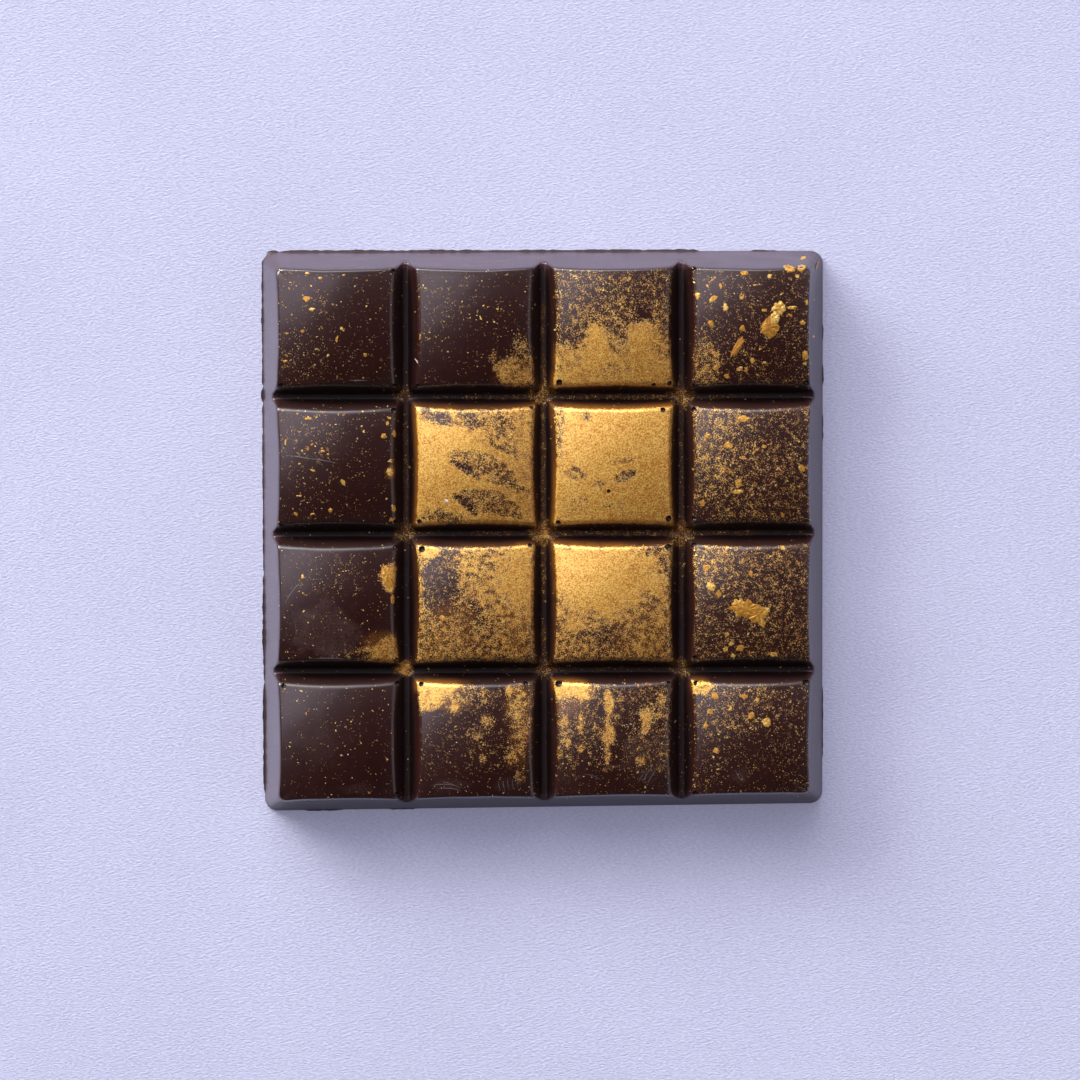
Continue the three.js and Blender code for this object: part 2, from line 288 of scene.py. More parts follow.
# The flash's section outwards from the foot: share of its width, most distance, height.
LIP_SECTION = [(0.4, 0.1, 0.31), (0.6, 0.15, 0.26), (1.0, 9.0, 0.24), (1.0, 9.0, 0.0)]
FOOT_FILLET = 0.10          # how much the foot of a wall is filled in, beside the flash
FOOT_FILLET_REACH = 0.08


def top_points(x, y, inside_x, inside_y):
    """Where the net's crossings come to lie: corners rounded, a little uneven, foot filled in."""
    level = np.minimum(inside_x, inside_y)
    z = surface_height(x, y, inside_x, inside_y)
    z = z + FOOT_FILLET * np.exp(-np.maximum(level, 0) / FOOT_FILLET_REACH)
    round_x, round_y = rounded_corners(x, y, inside_x, inside_y)
    uneven = np.clip(level, 0, 1)
    round_x = round_x + 0.05 * uneven * soft_noise(x, y, 3.3, 11)
    round_y = round_y + 0.05 * uneven * soft_noise(x, y, 3.3, 12)
    z = z + uneven * (0.03 * soft_noise(x, y, 5.1, 13) + 0.012 * soft_noise(x, y, 1.7, 14))
    return np.stack([round_x, round_y, z], axis=-1)


def rim_outward(x, y, inside_x, inside_y):
    """The way out of the tablet at places on its rim, and the flash's width there."""
    on_side_x = inside_x <= inside_y
    along = np.where(on_side_x, y, x)
    width = np.where(
        on_side_x,
        np.where(x < 0, lip_width("left", along), lip_width("right", along)),
        np.where(y < 0, lip_width("lower", along), lip_width("upper", along)),
    )
    turn = np.maximum(0, CORNER_RADIUS_FOOT - np.abs(inside_x - inside_y))
    length = np.hypot(CORNER_RADIUS_FOOT, turn)
    far, near = CORNER_RADIUS_FOOT / length, turn / length
    out_x = np.where(on_side_x, far, near) * np.sign(x)
    out_y = np.where(on_side_x, near, far) * np.sign(y)
    return np.stack([out_x, out_y], axis=-1), width


def ring_faces(inner, outer):
    """Faces between two rings of points, each given by its points' numbers."""
    return np.stack([outer, np.roll(outer, -1), np.roll(inner, -1), inner], axis=1)


def bar_shell():
    """Points and faces of the closed tablet, without its pits."""
    x, y = net_places()
    inside_x, inside_y = inside_distances(x, y)
    top = top_points(x, y, inside_x, inside_y)
    columns, rows = x.shape
    number = np.arange(columns * rows).reshape(columns, rows)
    corners = [number[:-1, :-1], number[1:, :-1], number[1:, 1:], number[:-1, 1:]]
    points, faces = [top.reshape(-1, 3)], [np.stack(corners, axis=-1).reshape(-1, 4)]

    i, j = rim_order(columns, rows).T
    outward, width = rim_outward(x[i, j], y[i, j], inside_x[i, j], inside_y[i, j])
    ring, count = number[i, j], columns * rows
    for share, most, height in LIP_SECTION:
        step = np.minimum(width * share, most)
        places = top[i, j, :2] + outward * step[:, None]
        points.append(np.column_stack([places, np.full(len(i), height)]))
        new_ring = np.arange(len(i)) + count
        faces.append(ring_faces(ring, new_ring))
        ring, count = new_ring, count + len(i)
    points.append(np.zeros((1, 3)))
    underside = [(b, a, count) for a, b in zip(ring.tolist(), np.roll(ring, -1).tolist())]
    return np.concatenate(points), np.concatenate(faces).tolist() + underside


def square_place(row, column, across, down):
    """The place at percents of a square's width and height, counted from the upper left."""
    x = (column - MIDDLE_COUNT) * PITCH + (across / 100 - 0.5) * SQUARE_SIDE
    y = (MIDDLE_COUNT - row) * PITCH - (down / 100 - 0.5) * SQUARE_SIDE
    return x, y


# In these tables squares are counted by row and column from the upper left. Places across and
# down a square, half sizes there and shares covered are percents, and a turn, in degrees against
# the clock, is left out where there is none.

# Small pits left by air bubbles: row, column, across, down and diameter in millimetres.
PITS = [
    (1, 1, 100, 0, 0.8), (1, 1, 1, 100, 0.8), (1, 1, 100, 101, 0.9), (1, 2, 0, 101, 0.8),
    (1, 3, 3, 98, 1), (1, 3, 86, 100, 0.7), (1, 3, 100, 99, 0.8), (1, 4, 0, -1, 0.9),
    (1, 4, 99, 99, 0.8), (1, 4, 1, 101, 0.8), (2, 1, 100, 1, 0.9), (2, 1, 1, 102, 0.8),
    (2, 1, 100, 100, 1), (2, 2, 100, -1, 0.7), (2, 2, 1, 99, 0.8), (2, 3, 94, 1, 0.8),
    (2, 3, 99, 97, 1), (2, 3, 2, 100, 0.8), (2, 3, 46, 72, 0.6), (2, 4, 0, 1, 0.9),
    (2, 4, 0, 97, 0.9), (3, 1, 101, 1, 0.9), (3, 2, 3, 2, 1), (3, 2, 98, -1, 0.8),
    (3, 3, 99, 1, 1.1), (3, 4, 0, -1, 0.9), (3, 1, 101, 100, 0.8), (3, 4, 1, 99, 0.8),
    (4, 1, 2, 1, 0.8), (4, 1, 102, 0, 0.9), (4, 1, 101, 98, 0.9), (4, 2, 2, 0, 0.8),
    (4, 2, 94, 0, 0.8), (4, 3, 2, 0, 1.1), (4, 3, 99, 0, 0.7), (4, 4, 2, 0, 0.9),
    (4, 4, 99, 0, 1.1), (4, 4, 1, 98, 0.9),
]


# For each square its even dusting, and then strokes of the brush in the order they lie:
# across, down, half width, half height, share covered and turn.
GOLD = {
    (1, 1): (3.5, [(22, 78, 30, 25, 7), (30, 30, 10, 12, 8)]),
    (1, 2): (3.5, [
        (20, 20, 30, 30, 7), (86, 90, 17, 14, 62, 20), (93, 72, 9, 14, 30), (66.7, 74.7, 4, 5, 25),
    ]),
    (1, 3): (17, [
        (20, 12, 35, 20, 20), (50, 42, 55, 14, 30), (10, 55, 10, 20, 17), (52, 98, 75, 30, 90),
        (12, 76, 16, 10, 70), (36, 68, 13, 17, 95), (76, 62, 13, 17, 93), (93, 66, 7, 10, 55),
        (57, 66, 7, 6, 50), (40, 90, 20, 5, 75, 8), (76, 38, 8, 7, 8), (50, 84, 6, 5, 60),
    ]),
    (1, 4): (9, [(10, 82, 12, 18, 34)]),
    (2, 1): (3.5, [(25, 25, 35, 30, 7)]),
    (2, 2): (98, [
        (60, 5, 62, 16, 60, -13), (72, 22, 22, 12, 55, -18), (93, 35, 10, 35, 74),
        (9, 5, 10, 6, 35), (24.5, 10, 8, 5, 20, -15), (47.6, 11, 10, 9, 30), (74, 14, 10, 6, 40),
        (84, 66, 20, 30, 76), (22, 95, 22, 6, 40), (49.5, 91.7, 20, 2.5, 100, -19),
        (55, 22.8, 4, 4, 100),
    ]),
    (2, 3): (98, [
        (2, 20, 5, 28, 60), (26.8, 5.6, 3.5, 3.5, 40), (37.9, 65.3, 5, 3.5, 45),
        (20, 85, 16, 10, 75), (48.9, 84.6, 8, 3, 55), (59, 90, 10, 10, 75),
    ]),
    (2, 4): (18.5, [
        (15, 20, 25, 30, 27), (5, 95, 9, 12, 10), (23, 53, 6, 10, 40), (85, 85, 20, 20, 14),
        (80, 20, 20, 20, 13),
    ]),
    (3, 1): (3, [
        (51, 23.4, 28, 20, 7), (95.4, 26.5, 7.5, 11, 95), (82, 95, 20, 9, 25), (94, 92, 14, 12, 75),
    ]),
    (3, 2): (46, [
        (52, 22, 22, 24, 58), (18, 36, 18, 34, 13), (45, 60, 11, 18, 20), (87, 30, 17, 34, 88),
        (20, 84, 28, 18, 42), (50, 85, 12, 12, 33), (9.4, 4, 8, 5, 100),
    ]),
    (3, 3): (46, [
        (30, 20, 60, 40, 97, -20), (82, 6, 4, 4, 30), (82, 52, 8, 10, 40), (43, 80, 20, 12, 30),
        (33.8, 62, 8, 8, 50), (71, 89.6, 2, 8, 85, 30),
    ]),
    (3, 4): (15.5, [(20, 12, 30, 20, 34), (60, 10, 25, 20, 20)]),
    (4, 1): (2.5, []),
    (4, 2): (6, [
        (30, 40, 40, 20, 7), (60, 45, 25, 16, 10), (50, 12, 22, 8, 25), (16, 2, 26, 10, 97),
        (10, 14, 14, 10, 85, 30), (31.5, 20, 4, 5, 70), (80.3, 5.8, 5, 6, 90), (88, 24, 10, 20, 45),
        (90.8, 44, 7, 10, 50), (87.8, 57, 7, 7, 40), (80.8, 66, 5, 5, 50), (87.8, 79, 5, 8, 35),
        (59.7, 31, 5, 6, 60), (50.6, 43, 6, 5, 35), (56.6, 65, 3.5, 4.5, 50), (40, 95, 50, 10, 2),
    ]),
    (4, 3): (16, [
        (50, 95, 70, 32, 5), (58, 50, 8, 20, 8), (80, 60, 20, 15, 15), (10, 3, 20, 11, 97),
        (6.6, 33, 4.5, 8, 70), (8.7, 48, 3, 6, 55), (3, 60, 3, 6, 50), (21.7, 29, 2, 6, 75),
        (20.7, 39, 2, 5, 70), (21.7, 56, 2.5, 5, 60), (46.4, 12.9, 4, 10, 85), (46, 30, 3, 5, 75),
        (46, 44, 4.5, 9, 75), (44.4, 62, 2.5, 9, 60), (78, 29, 5, 7, 70), (78, 39, 3.5, 5, 60),
        (90, 27, 3.5, 5, 50), (93, 13, 3, 5, 65), (74, 67, 3.5, 4.5, 60),
    ]),
    (4, 4): (8, [(30, 15, 40, 25, 17), (50, 90, 40, 15, 5), (5, 1, 10, 8, 80)]),
}

# Leaf-shaped places with clear edges, where a bristle lifted part of the gold off: row, column,
# across, down, half length, half width, turn and share left.
LEAVES = [
    (2, 2, 57.6, 47.3, 35, 9.5, -21, 45), (2, 2, 63.5, 81.4, 35, 10, -20, 42),
    (2, 2, 42, 52, 16, 3, -32, 15), (2, 2, 42, 83, 16, 3.5, -40, 15),
    (2, 2, 80, 66, 22, 3, -18, 35), (2, 2, 79, 36, 13, 3, -30, 35), (2, 3, 17, 56, 12, 5.5, -8, 50),
    (2, 3, 60, 58.5, 13, 5, 20, 40), (2, 3, 60, 45, 13, 2, 12, 60), (3, 3, 70, 68, 12, 3, 55, 35),
]

# Smooth smears of powder with no grains to be seen: row, column, across, down, half width,
# half height, share covered and turn.
SMEARS = [
    (3, 1, 90, 87, 16, 11, 14, 10), (3, 1, 95, 24, 5, 8, 40), (3, 2, 25, 80, 30, 25, 12),
    (3, 2, 88, 40, 16, 50, 20), (1, 2, 88, 90, 16, 12, 12), (4, 2, 90, 30, 14, 35, 10),
    (4, 2, 20, 10, 20, 12, 15), (4, 3, 12, 12, 16, 16, 12), (3, 3, 75, 60, 30, 50, 12),
    (2, 1, 97, 55, 4, 5, 40), (2, 3, 40, 75, 40, 20, 15),
]

# Dust in the grooves: place, half width and half height in millimetres, share covered and turn.
GROOVE_GOLD = [
    (-24.9, 24.5, 1.6, 1.6, 12), (-0.2, 24.4, 2.4, 2, 30, 30), (24.5, 24.4, 2.2, 2, 25),
    (-24.9, 0.2, 2, 2, 20), (-0.2, 0.2, 2.2, 2, 40), (24.5, 0.2, 2, 2, 25),
    (-24.9, -24.2, 1.4, 1.4, 60), (0, -24.2, 2, 1.8, 20), (24.5, -24.2, 2, 1.8, 18),
    (-0.1, 8, 0.5, 26, 17), (-24.6, 12, 0.5, 14, 8), (8, 24.3, 26, 0.5, 15), (10, 0, 30, 0.5, 15),
    (10, -24.3, 20, 0.5, 7), (24.5, 8, 0.5, 20, 9),
]


# Seeds of the strokes' ragged edges.
SMEAR_SEED = 800
GROOVE_SEED = 900
BLOOM_SEED = 700


def turned(x, y, middle, turn):
    """Places seen from a middle, along and aside of a line turned this far."""
    angle = math.radians(turn)
    along = (x - middle[0]) * math.cos(angle) + (y - middle[1]) * math.sin(angle)
    aside = (y - middle[1]) * math.cos(angle) - (x - middle[0]) * math.sin(angle)
    return along, aside


def stroke_share(x, y, seed, middle, half_x, half_y, turn=0):
    """How much of each place one ragged-edged stroke takes."""
    along, aside = turned(x, y, middle, turn)
    reach = np.hypot(along / half_x, aside / half_y)
    ragged = 0.32 * soft_noise(x, y, 2.3, seed) + 0.28 * soft_noise(x, y, 0.9, seed + 1)
    return smooth_step(1.45, 0.55, reach + ragged)


def square_stroke(x, y, seed, row, column, stroke):
    """How much of each place a square's stroke takes, and the share that the stroke covers."""
    across, down, half_x, half_y, covered, *turn = stroke
    middle = square_place(row, column, across, down)
    mask = stroke_share(x, y, seed, middle, half_x * PERCENT, half_y * PERCENT, *turn)
    return mask, covered / 100


def leaf_share(x, y, middle, half_long, half_wide, turn):
    """How much of each place a leaf takes: pointed at both ends, with an even edge."""
    along, aside = turned(x, y, middle, turn)
    bend = 0.12 * along ** 2 / half_long
    width = half_wide * np.clip(1 - (along / half_long) ** 2, 0, 1)
    wavy = 0.12 * half_wide * soft_noise(x, y, 0.8, 61)
    within = smooth_step(half_long, 0.9 * half_long, np.abs(along))
    return within * smooth_step(0.35, -0.1, np.abs(aside + bend) + wavy - width)


def gold_share(x, y):
    """The share of the surface that gold covers at each place, by its place alone."""
    columns = np.clip(np.floor(x / PITCH) + 3, 1, SQUARES).astype(int)
    rows = np.clip(2 - np.floor(y / PITCH), 1, SQUARES).astype(int)
    share = np.zeros_like(x)
    for (row, column), (even, strokes) in GOLD.items():
        here = (rows == row) & (columns == column)
        place_x, place_y = x[here], y[here]
        level = np.full_like(place_x, even / 100)
        for count, stroke in enumerate(strokes):
            seed = row * 400 + column * 100 + count * 2
            mask, covered = square_stroke(place_x, place_y, seed, row, column, stroke)
            level = level * (1 - mask) + covered * mask
        patchy = 0.5 * soft_noise(place_x, place_y, 2.6, row + 31)
        patchy = patchy + 0.5 * soft_noise(place_x, place_y, 1.1, column + 41)
        share[here] = level * (1 + 0.45 * (1 - level) * patchy)
    for row, column, across, down, half_long, half_wide, turn, left in LEAVES:
        middle = square_place(row, column, across, down)
        mask = leaf_share(x, y, middle, half_long * PERCENT, half_wide * PERCENT, turn)
        share = share * (1 - mask) + np.minimum(share, left / 100) * mask
    return share


def smear_share(x, y):
    """How strongly the smooth smears show at each place."""
    share = np.zeros_like(x)
    for row, column, *smear in SMEARS:
        mask, covered = square_stroke(x, y, SMEAR_SEED, row, column, smear)
        share = np.maximum(share, covered * mask)
    return share


def groove_dust(x, y):
    """The share of the grooves that dust covers at each place."""
    share = np.zeros_like(x)
    for count, (middle_x, middle_y, half_x, half_y, covered, *turn) in enumerate(GROOVE_GOLD):
        seed = GROOVE_SEED + count * 2
        mask = stroke_share(x, y, seed, (middle_x, middle_y), half_x, half_y, *turn)
        share = np.maximum(share, covered / 100 * mask)
    return share


def within_rims(x, y):
    """How far inside its square's rims each place stands: from the two lit sides, the others."""
    offset_x, offset_y = from_square_middle(x), from_square_middle(y)
    inside_x = PITCH / 2 - groove_half_width(offset_y) - np.abs(offset_x)
    inside_y = PITCH / 2 - groove_half_width(offset_x) - np.abs(offset_y)
    lit = np.minimum(np.where(offset_x < 0, inside_x, 9), np.where(offset_y > 0, inside_y, 9))
    other = np.minimum(np.where(offset_x < 0, 9, inside_x), np.where(offset_y > 0, 9, inside_y))
    return lit, other


def gold_layers(x, y, z):
    """The share of grains at each place, and the film of powder too fine to see as grains."""
    sunk = crown_height(from_square_middle(x), from_square_middle(y)) - z
    lit, other = within_rims(x, y)
    # Grains lie on the tops and end at the rims; the film runs a little way down the grooves.
    on_top = smooth_step(-0.15, 0.25, lit) * smooth_step(-0.45, 0.0, other)
    below_rims = smooth_step(-1.1, 0.3, lit) * smooth_step(-0.9, 0.3, other)
    level = gold_share(x, y)
    grains = level * on_top
    film = np.maximum(0.07 * grains, smear_share(x, y) * on_top)
    film = np.maximum(film, 0.34 * level ** 2 * below_rims)
    dust = groove_dust(x, y) * smooth_step(0.5, 2.0, sunk) * smooth_step(5.2, 6.0, z)
    grains = np.clip(np.maximum(grains, dust), 0, 1)
    film = np.maximum(film, 0.5 * dust * smooth_step(6.4, 6.0, z))
    return grains, np.clip(film, 0, 1)


def gold_tone_painted_light(x, y, share):
    """From 0 to 1, how bright the gold is: patchy, and brighter towards a square's upper left as
    painted light.
    """
    across = from_square_middle(x) / SQUARE_SIDE + 0.5
    down = 0.5 - from_square_middle(y) / SQUARE_SIDE
    # Painted light: brighter towards the upper left, where the lamps fall on each square.
    painted_corner_light = 1 - 0.5 * (across + down)
    patchy = 0.12 * soft_noise(x, y, 4.0, 51) + 0.08 * soft_noise(x, y, 1.5, 52)
    return np.clip(0.12 + 0.78 * painted_corner_light + patchy + 0.22 * (1 - share), 0, 1)


# Grey bloom and scuffs: row, column, across, down, half width, half height, strength and turn.
BLOOM = [
    (3, 1, 39, 75, 27, 21, 75), (3, 1, 37, 74, 21, 17, 45), (4, 1, 36, 54, 20, 16, 20),
    (4, 3, 80, 60, 20, 18, 30), (4, 2, 78, 90, 14, 7, 25), (4, 2, 25, 90, 18, 5, 30),
    (4, 3, 83, 82, 8, 10, 25, 40), (4, 4, 40, 81, 8, 7, 20), (4, 1, 65, 93, 18, 5, 30),
]


def bloom_share(x, y):
    share = np.zeros_like(x)
    for count, (row, column, *patch) in enumerate(BLOOM):
        mask, strength = square_stroke(x, y, BLOOM_SEED + count, row, column, patch)
        share = share * (1 - mask) + strength * mask
    return share


# Helpers for nodes.


def new_material(name):
    """A material with its tree and its one shader."""
    material = bpy.data.materials.new(name)
    material.use_nodes = True
    tree = material.node_tree
    return material, tree, tree.nodes["Principled BSDF"]


def set_inputs(tree, node, inputs):
    """Links inputs to sockets, or sets their values."""
    for key, value in inputs.items():
        if isinstance(value, bpy.types.NodeSocket):
            tree.links.new(value, node.inputs[key])
        else:
            node.inputs[key].default_value = value


def add_node(tree, kind, inputs=None, **settings):
    node = tree.nodes.new(kind)
    for key, value in settings.items():
        setattr(node, key, value)
    set_inputs(tree, node, inputs or {})
    return node


def math_node(tree, operation, a, b=0.0, c=0.0):
    return add_node(tree, "ShaderNodeMath", {0: a, 1: b, 2: c}, operation=operation).outputs[0]


def times(tree, a, b):
    return math_node(tree, "MULTIPLY", a, b)


def times_plus(tree, a, factor, rest):
    """A value times a factor, plus the rest."""
    return math_node(tree, "MULTIPLY_ADD", a, factor, rest)


def mix_colour(tree, share, a, b):
    node = add_node(tree, "ShaderNodeMix", data_type="RGBA")
    for socket, value in (("Factor_Float", share), ("A_Color", a), ("B_Color", b)):
        target = next(s for s in node.inputs if s.identifier == socket)
        if isinstance(value, bpy.types.NodeSocket):
            tree.links.new(value, target)
        else:
            target.default_value = value
    return next(s for s in node.outputs if s.identifier == "Result_Color")


def noise(tree, where, size, detail=2.0, roughness=0.5):
    """Blender's noise with bumps of this size in millimetres."""
    node = add_node(
        tree, "ShaderNodeTexNoise",
        {"Vector": where, "Scale": 1 / (size * MM), "Detail": detail, "Roughness": roughness},
    )
    return node.outputs["Fac"]


def map_range(tree, value, low, high, to_low=0.0, to_high=1.0):
    node = add_node(
        tree, "ShaderNodeMapRange",
        {"Value": value, "From Min": low, "From Max": high, "To Min": to_low, "To Max": to_high},
        interpolation_type="SMOOTHSTEP",
    )
    return node.outputs["Result"]


def attribute(tree, name):
    return add_node(tree, "ShaderNodeAttribute", attribute_name=name).outputs["Fac"]


def object_place(tree):
    return add_node(tree, "ShaderNodeTexCoord").outputs["Object"]


def mapped(tree, where, **change):
    """The place turned or stretched, for noise that lies askew or in streaks."""
    return add_node(tree, "ShaderNodeMapping", {"Vector": where, **change}).outputs["Vector"]


def relief(tree, height, strength, distance):
    """The shading of a height, with its full distance in millimetres."""
    inputs = {"Height": height, "Strength": strength, "Distance": distance * MM}
    return add_node(tree, "ShaderNodeBump", inputs).outputs["Normal"]


# Colours, as linear light.
CHOCOLATE = (0.0205, 0.0043, 0.0034, 1)
CHOCOLATE_PALE = (0.025, 0.0062, 0.005, 1)
WALL_HAZE = (0.088, 0.044, 0.056, 1)
BLOOM_GREY = (0.085, 0.047, 0.043, 1)
GOLD_FILM = (0.62, 0.22, 0.018, 1)
GOLD_DARK = (0.46, 0.172, 0.022, 1)
GOLD_MID = (0.76, 0.348, 0.062, 1)
GOLD_BRIGHT = (0.97, 0.64, 0.15, 1)
SCALE_DARK = (0.47, 0.2, 0.026, 1)
SCALE_MID = (0.73, 0.385, 0.052, 1)
SCALE_BRIGHT = (0.93, 0.7, 0.25, 1)
MARK_GREY = (0.06, 0.043, 0.043, 1)
MARK_WHITE = (0.75, 0.68, 0.62, 1)
# Painted shade: near black, mixed into the grooves, pits, flash, walls away from the light and bare
# upper rims.
PAINTED_SHADE_DARK = (0.003, 0.0006, 0.0005, 1)
PAPER_DARK = (0.405, 0.415, 0.54, 1)
PAPER_PALE = (0.555, 0.565, 0.71, 1)
PAPER_GLOW = (1.0, 1.0, 1.5, 1)
PAPER_GLOW_STRENGTH = 0.125
HAZE_MOST = 0.36            # how much of the walls' colour the haze can take
PAINTED_SHADE_MOST = 0.45          # and how much of it the painted shade can


def gold_colour(tree, where):
    """Lustre powder: its tone, with painted light brighter at each square's upper left, and grains of
    its own.
    """
    # The tone carries painted light: brighter at each square's upper left.
    tone = attribute(tree, "gold_tone_painted_light")
    patches = noise(tree, where, 1.2, 3, 0.6)
    grains = noise(tree, where, 0.27, 3, 0.65)
    both = times_plus(tree, grains, 1.65, times(tree, patches, 0.35))
    both = math_node(tree, "ADD", both, times_plus(tree, tone, 0.16, -0.555))
    low = mix_colour(tree, map_range(tree, both, 0.3, 0.5), GOLD_DARK, GOLD_MID)
    return mix_colour(tree, map_range(tree, both, 0.48, 0.7), low, GOLD_BRIGHT)


def powder_mask(tree, where):
    """Where grains of gold show: the lower the cut at a place, the more grains stand over it."""
    cut = attribute(tree, "gold_cut")
    dense = map_range(tree, cut, 0.44, 0.53, 1.0, 0.0)
    askew = mapped(tree, where, Rotation=(0.5, 0.35, 0.6))
    fine, coarse = noise(tree, askew, 0.17, 3, 0.6), noise(tree, askew, 0.2, 3, 0.6)
    speckle = times_plus(tree, math_node(tree, "SUBTRACT", fine, coarse), dense, coarse)
    clumps = noise(tree, askew, 0.9, 2, 0.5)
    grain = times_plus(tree, clumps, 0.3, times(tree, speckle, 0.7))
    return map_range(tree, math_node(tree, "SUBTRACT", grain, cut), -0.012, 0.016)


def wall_streaks(tree, where):
    """Level streaks, as the mould leaves them along the outer walls."""
    level_lines = mapped(tree, where, Scale=(0.15, 0.15, 0.6))
    return map_range(tree, noise(tree, level_lines, 1.0, 4, 0.6), 0.32, 0.68, 0.45, 1.45)


def scuff_share(tree, where):
    """Grey bloom, broken up into grains."""
    grain = noise(tree, where, 0.26, 3, 0.7)
    return times(tree, attribute(tree, "bloom"), map_range(tree, grain, 0.36, 0.6, 0.15, 1.0))


def brown_colour(tree, where, streaks, scuff):
    """Chocolate with pale haze on its walls and a painted highlight along their lit feet, painted shade
    in the grooves, pits, flash and shaded walls, grey bloom and a film of powder.
    """
    mottle = noise(tree, where, 6.0, 4, 0.55)
    brown = mix_colour(tree, map_range(tree, mottle, 0.4, 0.7), CHOCOLATE, CHOCOLATE_PALE)
    dots = map_range(tree, noise(tree, where, 0.25, 3, 0.6), 0.3, 0.7, 0.6, 1.4)
    haze = times(tree, times(tree, attribute(tree, "wall"), streaks), dots)
    brown = mix_colour(tree, times(tree, haze, HAZE_MOST), brown, WALL_HAZE)
    # Painted shade: the grooves, pits, flash, right and lower walls and bare upper rims are darkened
    # towards near black.
    dull_painted_shade = times(tree, attribute(tree, "dull_painted_shade"), PAINTED_SHADE_MOST)
    brown = mix_colour(tree, dull_painted_shade, brown, PAINTED_SHADE_DARK)
    brown = mix_colour(tree, scuff, brown, BLOOM_GREY)
    powder = map_range(tree, noise(tree, where, 0.24, 2, 0.6), 0.3, 0.7, 0.4, 1.6)
    return mix_colour(tree, times(tree, attribute(tree, "gold_film"), powder), brown, GOLD_FILM)


def chocolate_height(tree, where, mask, streaks):
    """Low waves, the powder's thickness and grains, and the streaks of the walls."""
    height = times_plus(tree, mask, 0.55, times(tree, noise(tree, where, 2.4, 2, 0.5), 0.8))
    height = times_plus(tree, times(tree, attribute(tree, "wall"), streaks), 0.5, height)
    fine = noise(tree, where, 0.3, 3, 0.65)
    return math_node(tree, "ADD", height, times(tree, fine, times_plus(tree, mask, 1.5, 0.04)))


def chocolate_material():
    material, tree, shader = new_material("dark_chocolate_with_gold")
    where = object_place(tree)
    mask = powder_mask(tree, where)
    streaks, scuff = wall_streaks(tree, where), scuff_share(tree, where)
    dull_painted_shade, wall = attribute(tree, "dull_painted_shade"), attribute(tree, "wall")
    brown = brown_colour(tree, where, streaks, scuff)
    dull = times_plus(tree, mask, 0.12, times_plus(tree, scuff, 0.2, 0.26))
    polish = times_plus(tree, wall, -0.15, times_plus(tree, dull_painted_shade, -0.9, 1.0))
    set_inputs(tree, shader, {
        "Base Color": mix_colour(tree, mask, brown, gold_colour(tree, where)),
        "Metallic": times(tree, mask, 0.5),
        "Roughness": times_plus(tree, dull_painted_shade, 0.25, dull),
        "IOR": 1.46,
        "Coat Weight": times(tree, times_plus(tree, mask, -0.5, 1.0), polish),
        "Coat Roughness": 0.25,
        "Coat IOR": 1.52,
        "Normal": relief(tree, chocolate_height(tree, where, mask, streaks), 0.6, 0.035),
    })
    return material


def flake_material():
    material, tree, shader = new_material("gold_lustre_scales")
    wrinkles = noise(tree, object_place(tree), 0.4, 4, 0.65)
    lighter = math_node(tree, "SUBTRACT", attribute(tree, "tone"), 1.05)
    # Painted light and shade on the crumpled foil: the wrinkle noise and each point's tone darken the
    # folds and brighten the facets.
    shade = times_plus(tree, wrinkles, 2.0, lighter)
    low = mix_colour(tree, map_range(tree, shade, 0.1, 0.5), SCALE_DARK, SCALE_MID)
    set_inputs(tree, shader, {
        "Base Color": mix_colour(tree, map_range(tree, shade, 0.4, 0.8), low, SCALE_BRIGHT),
        "Metallic": 0.55,
        "Roughness": 0.4,
        "Normal": relief(tree, wrinkles, 0.8, 0.08),
    })
    return material


def paper_material():
    material, tree, shader = new_material("lavender_paper")
    where = object_place(tree)
    woven = mapped(tree, where, Rotation=(0, 0, math.radians(-35)), Scale=(0.6, 1.3, 1))
    fibres = noise(tree, woven, 0.42, 4, 0.65)
    share = times_plus(tree, fibres, 0.85, times(tree, noise(tree, where, 40.0), 0.15))
    set_inputs(tree, shader, {
        "Base Color": mix_colour(tree, map_range(tree, share, 0.3, 0.7), PAPER_DARK, PAPER_PALE),
        "Roughness": 0.9,
        "Specular IOR Level": 0.1,
        "Emission Color": PAPER_GLOW,
        "Emission Strength": PAPER_GLOW_STRENGTH,
        "Normal": relief(tree, fibres, 1.0, 0.2),
    })
    return material


# Pieces.


def mesh_object(name, points, faces, material, smooth=True):
    """An object from points in millimetres."""
    mesh = bpy.data.meshes.new(name)
    mesh.from_pydata((np.asarray(points) * MM).tolist(), [], faces)
    mesh.polygons.foreach_set("use_smooth", np.full(len(mesh.polygons), smooth))
    mesh.materials.append(material)
    obj = bpy.data.objects.new(name, mesh)
    bpy.context.scene.collection.objects.link(obj)
    return obj


def set_values(mesh, name, values):
    mesh.attributes.new(name, "FLOAT", "POINT").data.foreach_set("value", values.astype(np.float32))


def mesh_points(mesh):
    """The mesh's points as an array, in millimetres."""
    flat = np.empty(len(mesh.vertices) * 3, dtype=np.float32)
    mesh.vertices.foreach_get("co", flat)
    return flat.reshape(-1, 3).astype(float) / MM


PIT_GROWTH = 1.2            # how much wider than its bubble a pit breaks open
PIT_DEPTH = 0.1             # how far under the surface its middle lies, as a share of its size


def pit_share(x, y, z):
    """Whether each place lies inside a pit."""
    share = np.zeros_like(x)
    for row, column, across, down, size in PITS:
        middle_x, middle_y = square_place(row, column, across, down)
        away = np.hypot(x - middle_x, y - middle_y) / PIT_GROWTH
        share = np.maximum(share, smooth_step(0.6 * size, 0.5 * size, away))
    return share * smooth_step(0.04, 0.12, height_at(x, y) - z)


